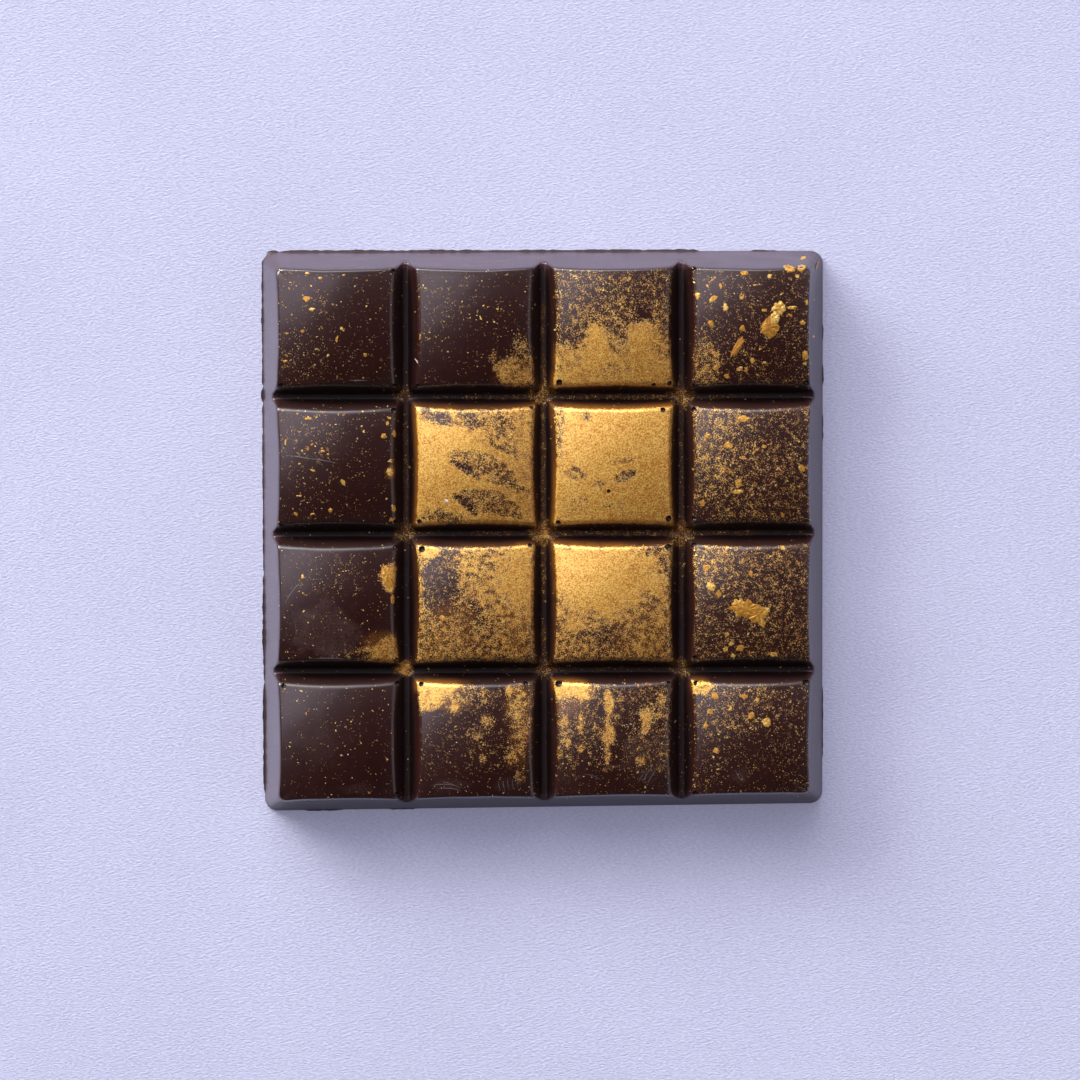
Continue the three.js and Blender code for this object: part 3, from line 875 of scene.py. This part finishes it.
def cut_pits(bar):
    """Takes one small ball out of the surface for each pit."""
    ball = bpy.data.meshes.new("ball")
    shape = bmesh.new()
    for row, column, across, down, size in PITS:
        x, y = square_place(row, column, across, down)
        x, y = np.array([x]), np.array([y])
        height = inner_height(x, y)[0] - size * PIT_DEPTH
        radius = size / 2 * PIT_GROWTH
        place = Matrix.Translation(Vector((x[0], y[0], height)) * MM)
        bmesh.ops.create_icosphere(shape, subdivisions=3, radius=radius * MM, matrix=place)
    shape.to_mesh(ball)
    shape.free()
    cutter = bpy.data.objects.new("pit_cutter", ball)
    bpy.context.scene.collection.objects.link(cutter)
    change = bar.modifiers.new("pits", "BOOLEAN")
    change.operation = "DIFFERENCE"
    change.solver = "MANIFOLD"
    change.object = cutter
    bpy.context.view_layer.objects.active = bar
    bar.select_set(True)
    bpy.ops.object.modifier_apply(modifier=change.name)
    bpy.data.objects.remove(cutter)
    bpy.data.meshes.remove(ball)


# The larger flakes of gold in each square: across, down, width and length in millimetres, turn.
FLAKES = {
    (1, 1): [
        (24, 23.3, 1.2, 1), (28.6, 33, 1, 0.6, 20), (20, 52.3, 0.7, 0.5), (75, 73.2, 0.7, 0.6),
        (50.4, 59, 0.4, 1.1, -10), (5, 78.6, 0.9, 0.5), (35.7, 5, 0.9, 0.5), (25, 1.5, 0.8, 0.4),
        (56.5, 3, 0.7, 0.5), (55, 50, 0.5, 1, 40), (42.6, 73.2, 0.6, 0.5), (6.5, 54, 0.6, 0.4),
    ],
    (1, 2): [(2, 57.5, 0.3, 1.2), (62, 31, 0.5, 0.3, 20), (70, 33, 0.5, 0.3)],
    (1, 4): [
        (65.8, 50, 3, 3.9, -25), (70, 42, 2, 3, -35), (75, 33, 2.6, 2.4, 30),
        (86, 32.5, 1.9, 0.7, 5), (37.5, 67.6, 1.5, 3.9, -30), (42.6, 50.3, 1, 0.9),
        (27.7, 32, 1, 1.6), (16.5, 25, 1.8, 1.1, 20), (14.8, 46.2, 0.9, 1.1),
        (3, 21.8, 0.9, 1.5, 10), (44, 2, 1.1, 0.8), (66.7, 4.5, 0.9, 0.8), (84.2, -1.6, 1.9, 1.5),
        (94.3, -1.6, 1.6, 1.3, 20), (90.8, 5, 0.8, 0.8), (97.8, 74.7, 1.1, 1.8),
        (97.5, 82, 0.7, 0.7), (95.3, 46.2, 0.9, 1), (99.3, 28, 0.7, 0.9), (51.4, 79, 0.8, 0.9),
        (58, 68.6, 0.7, 0.7), (61.7, 81, 0.8, 0.5), (40.5, 86, 0.9, 0.7, 30), (46, 87, 0.5, 0.9),
        (28.5, 92.5, 1, 0.8), (19.5, 85, 1, 0.9), (41.6, 23.8, 0.8, 0.6), (53.6, 12.6, 0.7, 0.3),
        (23.5, 13.6, 0.6, 0.8), (12, 12.8, 0.5, 0.5), (61, 35, 1.2, 0.6), (84.2, 39, 0.9, 0.4, -20),
        (97.5, -10, 1.1, 0.6, 20), (106.3, 27.8, 0.7, 0.8), (109.8, -3, 0.3, 1.6, -20),
        (106.3, 58.6, 0.5, 0.4),
    ],
    (2, 1): [
        (5, 28, 0.4, 1.2), (24.6, 34, 0.4, 0.7), (28, 30, 0.5, 0.4), (37.8, 36, 0.9, 0.5),
        (42, 38.8, 0.5, 0.3), (29, 53.2, 0.9, 0.35, -15), (17, 47, 0.5, 0.3),
        (55.5, 63.8, 0.6, 1.1, 30), (17, 75.5, 1.4, 0.4), (43.8, 88, 0.7, 0.8),
        (28, 91.7, 0.8, 0.35), (13.5, 91.7, 0.8, 0.6), (73.7, 19, 0.5, 0.5),
        (91.4, 22.8, 0.7, 1, -30), (96.5, 7.6, 0.6, 0.6), (94.4, 12, 0.5, 0.9),
        (100.5, 21.3, 0.8, 1.1), (97.5, 45, 1.3, 0.8), (96.8, 55.2, 1.4, 1.6),
        (99.5, 87, 0.9, 1.5, 10), (98, 97, 0.9, 0.9), (24.6, 7.6, 1.2, 0.4),
    ],
    (2, 4): [
        (43.6, 9, 1.9, 1.2, 10), (30, 32, 1.4, 1.2), (11.4, 23.8, 1.2, 0.9, 20), (43, 43, 1.1, 0.8),
        (38.6, 65.5, 1.3, 1.6), (38.6, 73, 1.8, 0.9), (7.4, 83.6, 0.9, 1.4), (94.8, 53, 1.3, 1.2),
        (32, 55, 0.3, 2, 40), (61, 33, 0.9, 0.6), (77.7, 93.7, 0.5, 0.9),
    ],
    (3, 1): [
        (93, 22, 2.2, 2.3, 20), (95.5, 30, 1.6, 3), (98.5, 45.8, 0.8, 1.5), (19.5, 25, 0.6, 0.7),
        (20, 39.7, 0.6, 0.3), (23, 41.5, 0.4, 0.4),
    ],
    (3, 2): [(21.4, 62, 1.2, 1, 30), (2, 37.7, 0.5, 2.4)],
    (3, 4): [
        (47.5, 56, 6.2, 3.6, -18), (56, 60, 3.6, 3.4, -20), (40, 52, 2.6, 2.6),
        (62.7, 56.5, 1.6, 1), (60, 68, 1, 1.6, 20), (11.4, 18.8, 1.4, 1.1), (15, 35, 1.7, 1.7),
        (21.7, 41.7, 1, 1.3), (50, 23.4, 0.8, 1.2), (29, 77.4, 0.8, 0.7), (40.5, 90, 1.6, 1.1, 20),
        (33, 86, 1, 0.7), (27.5, 90.6, 0.9, 0.8), (34.5, 97, 0.8, 0.7), (70, 95.7, 1.4, 1.1),
        (78.7, 2, 0.8, 0.6),
    ],
    (4, 1): [(52.7, 61.9, 0.4, 0.4), (93, 66, 0.4, 0.4), (77.2, 95.9, 0.5, 0.4)],
    (4, 4): [
        (6.4, 1.3, 1.7, 1.4), (18.5, 10.9, 1.3, 1.3), (44.6, 11.4, 1, 1.1), (13.5, 25, 0.9, 1),
        (50, 28, 1.1, 1.3), (63.7, 34.5, 1.4, 1.9, 12), (19.5, 59, 1, 1.1), (10.4, 37, 0.8, 1.3),
        (32, 22, 0.6, 1.1), (55.6, 14.4, 0.7, 0.7), (61, 93, 0.6, 0.5),
    ],
}


def height_at(x, y):
    """The tablet's height at any places, without its finer unevenness."""
    inside_x, inside_y = inside_distances(x, y)
    return surface_height(x, y, inside_x, inside_y)


RAGGED_FLAKE = 1.6          # flakes with a shorter diagonal have the most ragged edges
FLAKE_CORNERS = (11, 34)    # fewest and most corners
FLAKE_RISE = 0.13           # most height above the tablet
FLAKE_SUNK = 0.15           # how far its foot reaches into the tablet


def flake_points(draw, x, y, width, length, turn=0):
    """Rings of points for one ragged scale: sunk foot, edge, crumpled inside and middle."""
    size = math.hypot(width, length)
    corners = int(np.clip(9 + 5 * size, *FLAKE_CORNERS))
    around = (np.arange(corners) + draw.uniform(-0.4, 0.4, corners)) * 2 * math.pi / corners
    spiky = 0.5 if size < RAGGED_FLAKE else 0.3
    reach = draw.uniform(0.95 - spiky, 0.95 + spiky, corners)
    reach = 0.75 * reach + 0.25 * np.roll(reach, 1)
    angle = math.radians(turn)
    rise = min(FLAKE_RISE, 0.03 + 0.03 * size)
    rings = []
    foot, edge = (1.0, -FLAKE_SUNK, -FLAKE_SUNK), (1.0, 0.01, 0.03)
    inside, middle = (0.62, 0.3 * rise, rise), (0.0, 0.5 * rise, rise)
    for share, low, high in (foot, edge, inside, middle):
        aside = np.cos(around) * width / 2 * reach * share
        along = np.sin(around) * length / 2 * reach * share
        ring_x = x + aside * math.cos(angle) - along * math.sin(angle)
        ring_y = y + aside * math.sin(angle) + along * math.cos(angle)
        if share == 0.0:
            ring_x, ring_y = ring_x[:1], ring_y[:1]
        ring_z = height_at(ring_x, ring_y) + draw.uniform(low, high, len(ring_x))
        rings.append(np.stack([ring_x, ring_y, ring_z], axis=1))
    return rings


def flake_faces(corners, first):
    """Faces between the rings of one scale, whose points start at this number."""
    foot, edge, inside = first + np.arange(3 * corners).reshape(3, corners)
    faces = [foot[::-1].tolist()] + ring_faces(edge, foot).tolist()
    faces += ring_faces(inside, edge).tolist()
    middle = first + 3 * corners
    return faces + [(a, b, middle) for a, b in zip(inside.tolist(), np.roll(inside, -1).tolist())]


THICK_FLAKE = 4.1           # flakes with a longer diagonal are thick
THICK_FLAKE_DARKER = 0.2    # and their tone is this much darker


def make_flakes(material):
    draw = np.random.default_rng(71)
    points, faces, tones = [], [], []
    count = 0
    for (row, column), scales in FLAKES.items():
        for across, down, width, length, *turn in scales:
            x, y = square_place(row, column, across, down)
            rings = flake_points(draw, x, y, width, length, *turn)
            faces.extend(flake_faces(len(rings[0]), count))
            here = np.concatenate(rings)
            points.append(here)
            darker = THICK_FLAKE_DARKER if math.hypot(width, length) > THICK_FLAKE else 0.0
            # Each flake's tone differs at random; the jitter at each point is painted light and shade
            # on its crumpled facets.
            tones.append(draw.uniform(0.25, 0.6) - darker + draw.uniform(-0.18, 0.18, len(here)))
            count += len(here)
    flakes = mesh_object("gold_flakes", np.concatenate(points), faces, material, smooth=False)
    set_values(flakes.data, "tone", np.concatenate(tones))
    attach(flakes, "root")


FLECK_TRIES = 60000         # places tried; most are turned down where little gold lies
FLECK_INSET = 2.6           # how far from the foot they stop
FLECK_SUNK = 0.05           # how far their feet reach into the tablet
FLECK_CORNERS = 4           # so that all the faces of a fleck have four corners


def fleck_rings(draw, x, y):
    """Places of the corners of small ragged chips around these middles, and the chips' sizes."""
    number = len(x)
    size = np.clip(draw.lognormal(math.log(0.105), 0.5, number), 0.06, 0.42)
    slim = draw.uniform(0.35, 1.0, number)
    turn = draw.normal(math.radians(-25), 0.9, number)
    around = np.arange(FLECK_CORNERS) + draw.uniform(-0.3, 0.3, (number, FLECK_CORNERS))
    around = around * 2 * math.pi / FLECK_CORNERS
    radius = size[:, None] * draw.uniform(0.35, 0.75, (number, FLECK_CORNERS))
    along = np.cos(around) * radius / slim[:, None] ** 0.5
    aside = np.sin(around) * radius * slim[:, None] ** 0.5
    ring_x = x[:, None] + along * np.cos(turn)[:, None] - aside * np.sin(turn)[:, None]
    ring_y = y[:, None] + along * np.sin(turn)[:, None] + aside * np.cos(turn)[:, None]
    return ring_x, ring_y, size


def fleck_faces(number):
    """Faces of all the flecks: foot, top and sides."""
    foot = np.arange(FLECK_CORNERS)
    top = foot + FLECK_CORNERS
    one = np.concatenate([[foot[::-1]], [top], ring_faces(top, foot)])
    first = 2 * FLECK_CORNERS * np.arange(number)
    return (first[:, None, None] + one).reshape(-1, FLECK_CORNERS).tolist()


def make_flecks(material):
    """Specks of powder too small to be flakes: more of them where more gold lies."""
    draw = np.random.default_rng(72)
    reach = BASE_HALF - FLECK_INSET
    x, y = draw.uniform(-reach, reach, (2, FLECK_TRIES))
    share, _ = gold_layers(x, y, height_at(x, y))
    kept = draw.uniform(0, 1, FLECK_TRIES) < 1.25 * (share + 0.055) * (1.02 - share)
    ring_x, ring_y, size = fleck_rings(draw, x[kept], y[kept])
    number = len(size)
    ring_z = height_at(ring_x, ring_y)
    foot = np.stack([ring_x, ring_y, ring_z - FLECK_SUNK], axis=-1)
    lift = 0.015 + 0.1 * size[:, None] * draw.uniform(0, 1, (number, FLECK_CORNERS))
    top = np.stack([ring_x, ring_y, ring_z + lift], axis=-1)
    points = np.concatenate([foot, top], axis=1).reshape(-1, 3)
    faces = fleck_faces(number)
    flecks = mesh_object("gold_flecks", points, faces, material, smooth=False)
    tone = draw.uniform(0.35, 1.0, number)
    set_values(flecks.data, "tone", np.repeat(tone, 2 * FLECK_CORNERS))
    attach(flecks, "root")


# Pale scratches and scrapes: row, column, start across and down, end across and down, width
# and bow in millimetres, and how white in percent.
MARKS = [
    (2, 1, 5.4, 40, 30, 43.5, 0.2, 0.1, 12), (2, 1, 20, 42.5, 50.9, 47.1, 0.16, 0.2, 8),
    (2, 1, 30, 39, 36, 47, 0.14, 0.1, 6), (3, 1, 3.3, 50.9, 17.5, 30.5, 0.18, 0.3, 10),
    (3, 1, 10, 55, 12, 90, 0.14, 0.5, 0), (3, 1, 30, 98, 60, 99, 0.2, 0.1, 5),
    (1, 1, 60, 95.5, 78, 96, 0.16, 0.05, 6), (1, 2, -2.5, 77, 0.5, 81, 0.3, 0, 100),
    (4, 2, 72, 95, 70, 86, 0.14, 0.1, 4), (4, 2, 76, 95, 74, 85, 0.14, 0.1, 5),
    (4, 2, 80, 95, 78, 84, 0.14, 0.1, 5), (4, 2, 84, 94, 82, 84, 0.14, 0.1, 4),
    (4, 2, 88, 93, 86, 84, 0.12, 0.1, 3), (4, 2, 10, 90, 40, 93, 0.16, 0.6, 3),
    (4, 2, 16, 93, 38, 95, 0.14, 0.4, 2), (4, 2, 20, 86, 36, 92, 0.12, 0.2, 2),
    (4, 3, 80, 90, 89, 74, 0.16, 0.2, 5), (4, 3, 76, 88, 84, 74, 0.12, 0.2, 3),
    (4, 3, 72, 88, 80, 76, 0.12, 0.2, 2), (4, 3, 25, 80, 40, 86, 0.12, 0.3, 2),
    (4, 3, 64.5, 34.5, 66, 36, 0.25, 0, 60), (4, 3, 68.6, 39, 70, 40, 0.25, 0, 60),
    (4, 4, 36, 76, 44, 88, 0.16, -0.2, 5), (4, 4, 40, 78, 46, 88, 0.12, -0.1, 3),
    (4, 1, 52, 61.5, 53.5, 62.5, 0.25, 0, 90), (4, 1, 58, 60.7, 59, 61.7, 0.25, 0, 80),
    (4, 1, 92.5, 65.5, 94, 66.5, 0.3, 0, 80), (4, 1, 43.2, 97, 44.5, 97.5, 0.25, 0, 60),
    (2, 2, 23.5, 79, 26.5, 82, 0.6, 0, 80),
]
MARK_STEPS = 8
# A scratch's section, from its left foot over its ridge to its right foot: side and height.
MARK_SECTION = [(-1, -0.08), (-1, 0.01), (0, 0.04), (1, 0.01), (1, -0.08)]


def mark_material():
    material, tree, shader = new_material("pale_scratches")
    colour = mix_colour(tree, attribute(tree, "tone"), MARK_GREY, MARK_WHITE)
    set_inputs(tree, shader, {"Base Color": colour, "Roughness": 0.6})
    return material


def mark_points(draw, start, end, width, bow):
    """Rings of points along one scratch, from its start to its end."""
    along = (end - start) / np.linalg.norm(end - start)
    aside = np.array([-along[1], along[0]])
    share = np.linspace(0, 1, MARK_STEPS + 1)
    bent = 4 * bow * share * (1 - share)
    line = start + share[:, None] * (end - start) + bent[:, None] * aside
    half = width / 2 * (0.15 + 0.85 * np.sin(math.pi * share)) * draw.uniform(0.6, 1.2, len(share))
    section = []
    for side, lift in MARK_SECTION:
        place = line + side * half[:, None] * aside
        height = height_at(place[:, 0], place[:, 1]) + lift
        section.append(np.column_stack([place, height]))
    return np.stack(section, axis=1)


def mark_faces(rings):
    """Faces of one scratch: along it, and then its two ends."""
    faces = []
    for low, high in zip(rings[:-1], rings[1:]):
        faces += np.column_stack([low, high, np.roll(high, -1), np.roll(low, -1)]).tolist()
    return faces + [rings[0].tolist(), rings[-1, ::-1].tolist()]


def make_marks():
    """Thin low ridges where the surface is scratched or scraped pale."""
    draw = np.random.default_rng(73)
    points, faces, tones = [], [], []
    size = (MARK_STEPS + 1, len(MARK_SECTION))
    for row, column, start_across, start_down, end_across, end_down, width, bow, white in MARKS:
        start = np.array(square_place(row, column, start_across, start_down))
        end = np.array(square_place(row, column, end_across, end_down))
        rings = np.arange(size[0] * size[1]).reshape(size) + len(points) * size[0] * size[1]
        points.append(mark_points(draw, start, end, width, bow).reshape(-1, 3))
        faces += mark_faces(rings)
        tones.append(np.full(size[0] * size[1], white / 100))
    marks = mesh_object("pale_scratches", np.concatenate(points), faces, mark_material())
    set_values(marks.data, "tone", np.concatenate(tones))
    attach(marks, "root")


NOISE_SPREAD = 0.078        # standard spread of the speckle's noise
LOGISTIC_FIT = 1.702        # scale at which a logistic curve follows the normal one
FOLD_ANGLE = 55             # edges bent more than this many degrees are drawn sharp


def noise_cut(share):
    """The height in the speckle's noise above which this share of it lies."""
    held = np.clip(share, 0.004, 0.996)
    cut = 0.5 - NOISE_SPREAD * np.log(held / (1 - held)) / LOGISTIC_FIT
    return np.where(share < 0.005, 1.0, cut)


def wall_haze_and_foot_highlight(x, y, z, wall, on_upright):
    """How strong the outer walls' haze is: stronger at the right and low down, with a painted highlight
    in a line along the foot of the lit sides.
    """
    lit_side = np.where(x < 0, 1, 0) * on_upright + np.where(y > 0, 1, 0) * (1 - on_upright)
    # Painted highlight: a pale line along the foot of the left and upper walls, which face the light.
    painted_foot_highlight = smooth_step(1.1, 0.5, z) * smooth_step(0.35, 0.5, z) * lit_side
    by_side = np.where(x < 0, 0.8, 1.15) * on_upright + (1 - on_upright)
    return wall * by_side * (1.12 - 0.025 * z + 0.6 * painted_foot_highlight)


def dull_painted_shade_share(x, y, z, wall, on_upright, level, share):
    """Where the chocolate is dull and darkened with painted shade: the walls away from the light, a
    painted dark line on the flash and the bare upper rims.
    """
    shaded = np.where(x > 0, 0.35, 0) * on_upright + np.where(y < 0, 0.77, 0) * (1 - on_upright)
    flash = smooth_step(0.05, 0.0, level) * smooth_step(0.36, 0.33, z)
    offset_x, offset_y = from_square_middle(x), from_square_middle(y)
    from_rim = PITCH / 2 - groove_half_width(offset_x) - offset_y
    upper_rim = 0.7 * smooth_step(0.9, 0.0, from_rim) * (1 - np.clip(share, 0, 1))
    return np.maximum(np.maximum(shaded * wall, flash), upper_rim * smooth_step(3.0, 3.4, level))


def set_surface(mesh):
    """Gives every point of the tablet what its material reads: gold with its painted light, haze with
    its painted foot highlight, painted shade with dullness, and bloom.
    """
    x, y, z = mesh_points(mesh).T
    pit = pit_share(x, y, z)
    share, film = gold_layers(x, y, z)
    share, film = share * (1 - pit), film * (1 - pit)
    set_values(mesh, "gold_film", film)
    set_values(mesh, "gold_cut", noise_cut(share))
    # The gold's tone, with painted light brighter at each square's upper left.
    set_values(mesh, "gold_tone_painted_light", gold_tone_painted_light(x, y, share))
    inside_x, inside_y = inside_distances(x, y)
    level = np.minimum(inside_x, inside_y)
    sunk = crown_height(from_square_middle(x), from_square_middle(y)) - z
    wall = smooth_step(3.1, 2.6, level) * smooth_step(0.3, 1.0, sunk) * smooth_step(0.35, 0.6, z)
    # Painted shade in the grooves, stronger further down.
    groove = smooth_step(3.0, 3.6, level) * smooth_step(0.4, 1.8, sunk)
    on_upright = smooth_step(-1.0, 1.0, inside_y - inside_x)
    set_values(mesh, "wall", wall_haze_and_foot_highlight(x, y, z, wall, on_upright))
    dull = dull_painted_shade_share(x, y, z, wall, on_upright, level, share)
    # Painted shade, with dullness: grooves, pits, the flash, shaded walls and upper rims.
    set_values(mesh, "dull_painted_shade", np.maximum(np.maximum(groove, pit), dull))
    set_values(mesh, "bloom", bloom_share(x, y) * smooth_step(1.0, 0.2, CROWN_TOP - z - 0.6))


def make_bar():
    points, faces = bar_shell()
    bar = mesh_object("bar_moulded_tablet", points, faces, chocolate_material())
    cut_pits(bar)
    bar.data.polygons.foreach_set("use_smooth", np.full(len(bar.data.polygons), True))
    bar.data.set_sharp_from_angle(angle=math.radians(FOLD_ANGLE))
    set_surface(bar.data)
    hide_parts("chocolate_bar")
    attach(bar, "root")


FLOOR_WIDTH = 3000.0        # in millimetres
FLOOR_DROP = 0.02           # how far under the tablet it lies, so that the two don't flicker


def make_floor():
    half = FLOOR_WIDTH / 2
    corners = [(-half, -half, 0), (half, -half, 0), (half, half, 0), (-half, half, 0)]
    floor = mesh_object("floor", corners, [(0, 1, 2, 3)], paper_material())
    floor.location.z = -FLOOR_DROP * MM


# Camera and light.
CAMERA_TARGET = Vector((-0.599, -1.645, 0)) * MM
CAMERA_DISTANCE = 1.2       # in metres
CAMERA_PITCH = 0.0729       # how far it stands from overhead, in radians: to the upper side
CAMERA_YAW = -0.0148        # and to the right, so a little to the left
CAMERA_ROLL = -0.0021
CAMERA_LENS = 223.2         # in millimetres, as the next is
CAMERA_SENSOR = 36


def make_camera():
    data = bpy.data.cameras.new("camera")
    data.lens = CAMERA_LENS
    data.sensor_width = CAMERA_SENSOR
    camera = bpy.data.objects.new("camera", data)
    bpy.context.scene.collection.objects.link(camera)
    back = Vector((
        math.sin(CAMERA_YAW) * math.cos(CAMERA_PITCH),
        math.sin(CAMERA_PITCH),
        math.cos(CAMERA_YAW) * math.cos(CAMERA_PITCH),
    ))
    right = Vector((0, 1, 0)).cross(back).normalized()
    up = back.cross(right)
    turned_right = math.cos(CAMERA_ROLL) * right + math.sin(CAMERA_ROLL) * up
    turned_up = -math.sin(CAMERA_ROLL) * right + math.cos(CAMERA_ROLL) * up
    turn = Matrix((turned_right, turned_up, back)).transposed().to_4x4()
    camera.matrix_world = Matrix.Translation(CAMERA_TARGET + back * CAMERA_DISTANCE) @ turn
    bpy.context.scene.camera = camera


LAMP_DISTANCE = 2.6         # in metres, as the lamps' sizes are
# Soft lamps: name, azimuth and elevation in degrees, width and height, radiance and colour.
LAMPS = [
    ("key_light", 135, 18.5, 1.4, 0.82, 20.3, (1.0, 1.0, 0.98)),
    ("wide_key_light", 125, 23, 4.2, 1.15, 3.8, (1.0, 1.0, 0.99)),
    ("side_fill", 15, 36, 5.6, 2.3, 0.48, (0.96, 0.93, 1.07)),
    ("upper_fill", 105, 36, 2.4, 1.6, 3.4, (0.97, 0.94, 1.05)),
]


def make_softbox(name, azimuth, elevation, width, height, radiance, colour):
    """A soft lamp at this direction from the tablet, facing it."""
    light = bpy.data.lights.new(name, "AREA")
    light.shape = "RECTANGLE"
    light.size, light.size_y = width, height
    light.energy = radiance * math.pi * width * height
    light.color = colour
    a, e = math.radians(azimuth), math.radians(elevation)
    direction = Vector((math.cos(a) * math.cos(e), math.sin(a) * math.cos(e), math.sin(e)))
    lamp = bpy.data.objects.new(name, light)
    lamp.location = direction * LAMP_DISTANCE
    lamp.rotation_mode = "QUATERNION"
    lamp.rotation_quaternion = (-direction).to_track_quat("-Z", "Y")
    bpy.context.scene.collection.objects.link(lamp)


CEILING = 0.032             # radiance straight overhead
CEILING_LEAN = 0.707        # share of left and of up in the direction in which it brightens
CEILING_RISE = 12.0         # and how steeply
CEILING_MOST = 1.6
ROOM = 0.06                 # radiance of the walls
ROOM_COLOUR = (1.0, 0.94, 1.1, 1)


def make_world():
    """A dim room whose ceiling brightens towards the upper left."""
    world = bpy.data.worlds.new("world")
    bpy.context.scene.world = world
    world.use_nodes = True
    tree = world.node_tree
    direction = add_node(tree, "ShaderNodeTexCoord").outputs["Generated"]
    parts = add_node(tree, "ShaderNodeSeparateXYZ", {0: direction}).outputs
    lean = times_plus(tree, parts["Y"], CEILING_LEAN, times(tree, parts["X"], -CEILING_LEAN))
    ceiling = math_node(tree, "EXPONENT", times(tree, lean, CEILING_RISE))
    ceiling = math_node(tree, "MINIMUM", times(tree, ceiling, CEILING), CEILING_MOST)
    overhead = map_range(tree, parts["Z"], 0.74, 0.9)
    rise = math_node(tree, "SUBTRACT", ceiling, ROOM)
    strength = times_plus(tree, rise, overhead, ROOM)
    set_inputs(tree, tree.nodes["Background"], {"Color": ROOM_COLOUR, "Strength": strength})


def make_lights():
    for lamp in LAMPS:
        make_softbox(*lamp)
    make_world()


bpy.context.scene.view_settings.view_transform = "Standard"
make_camera()
make_lights()
make_floor()
make_bar()
gold = flake_material()
make_flakes(gold)
make_flecks(gold)
make_marks()
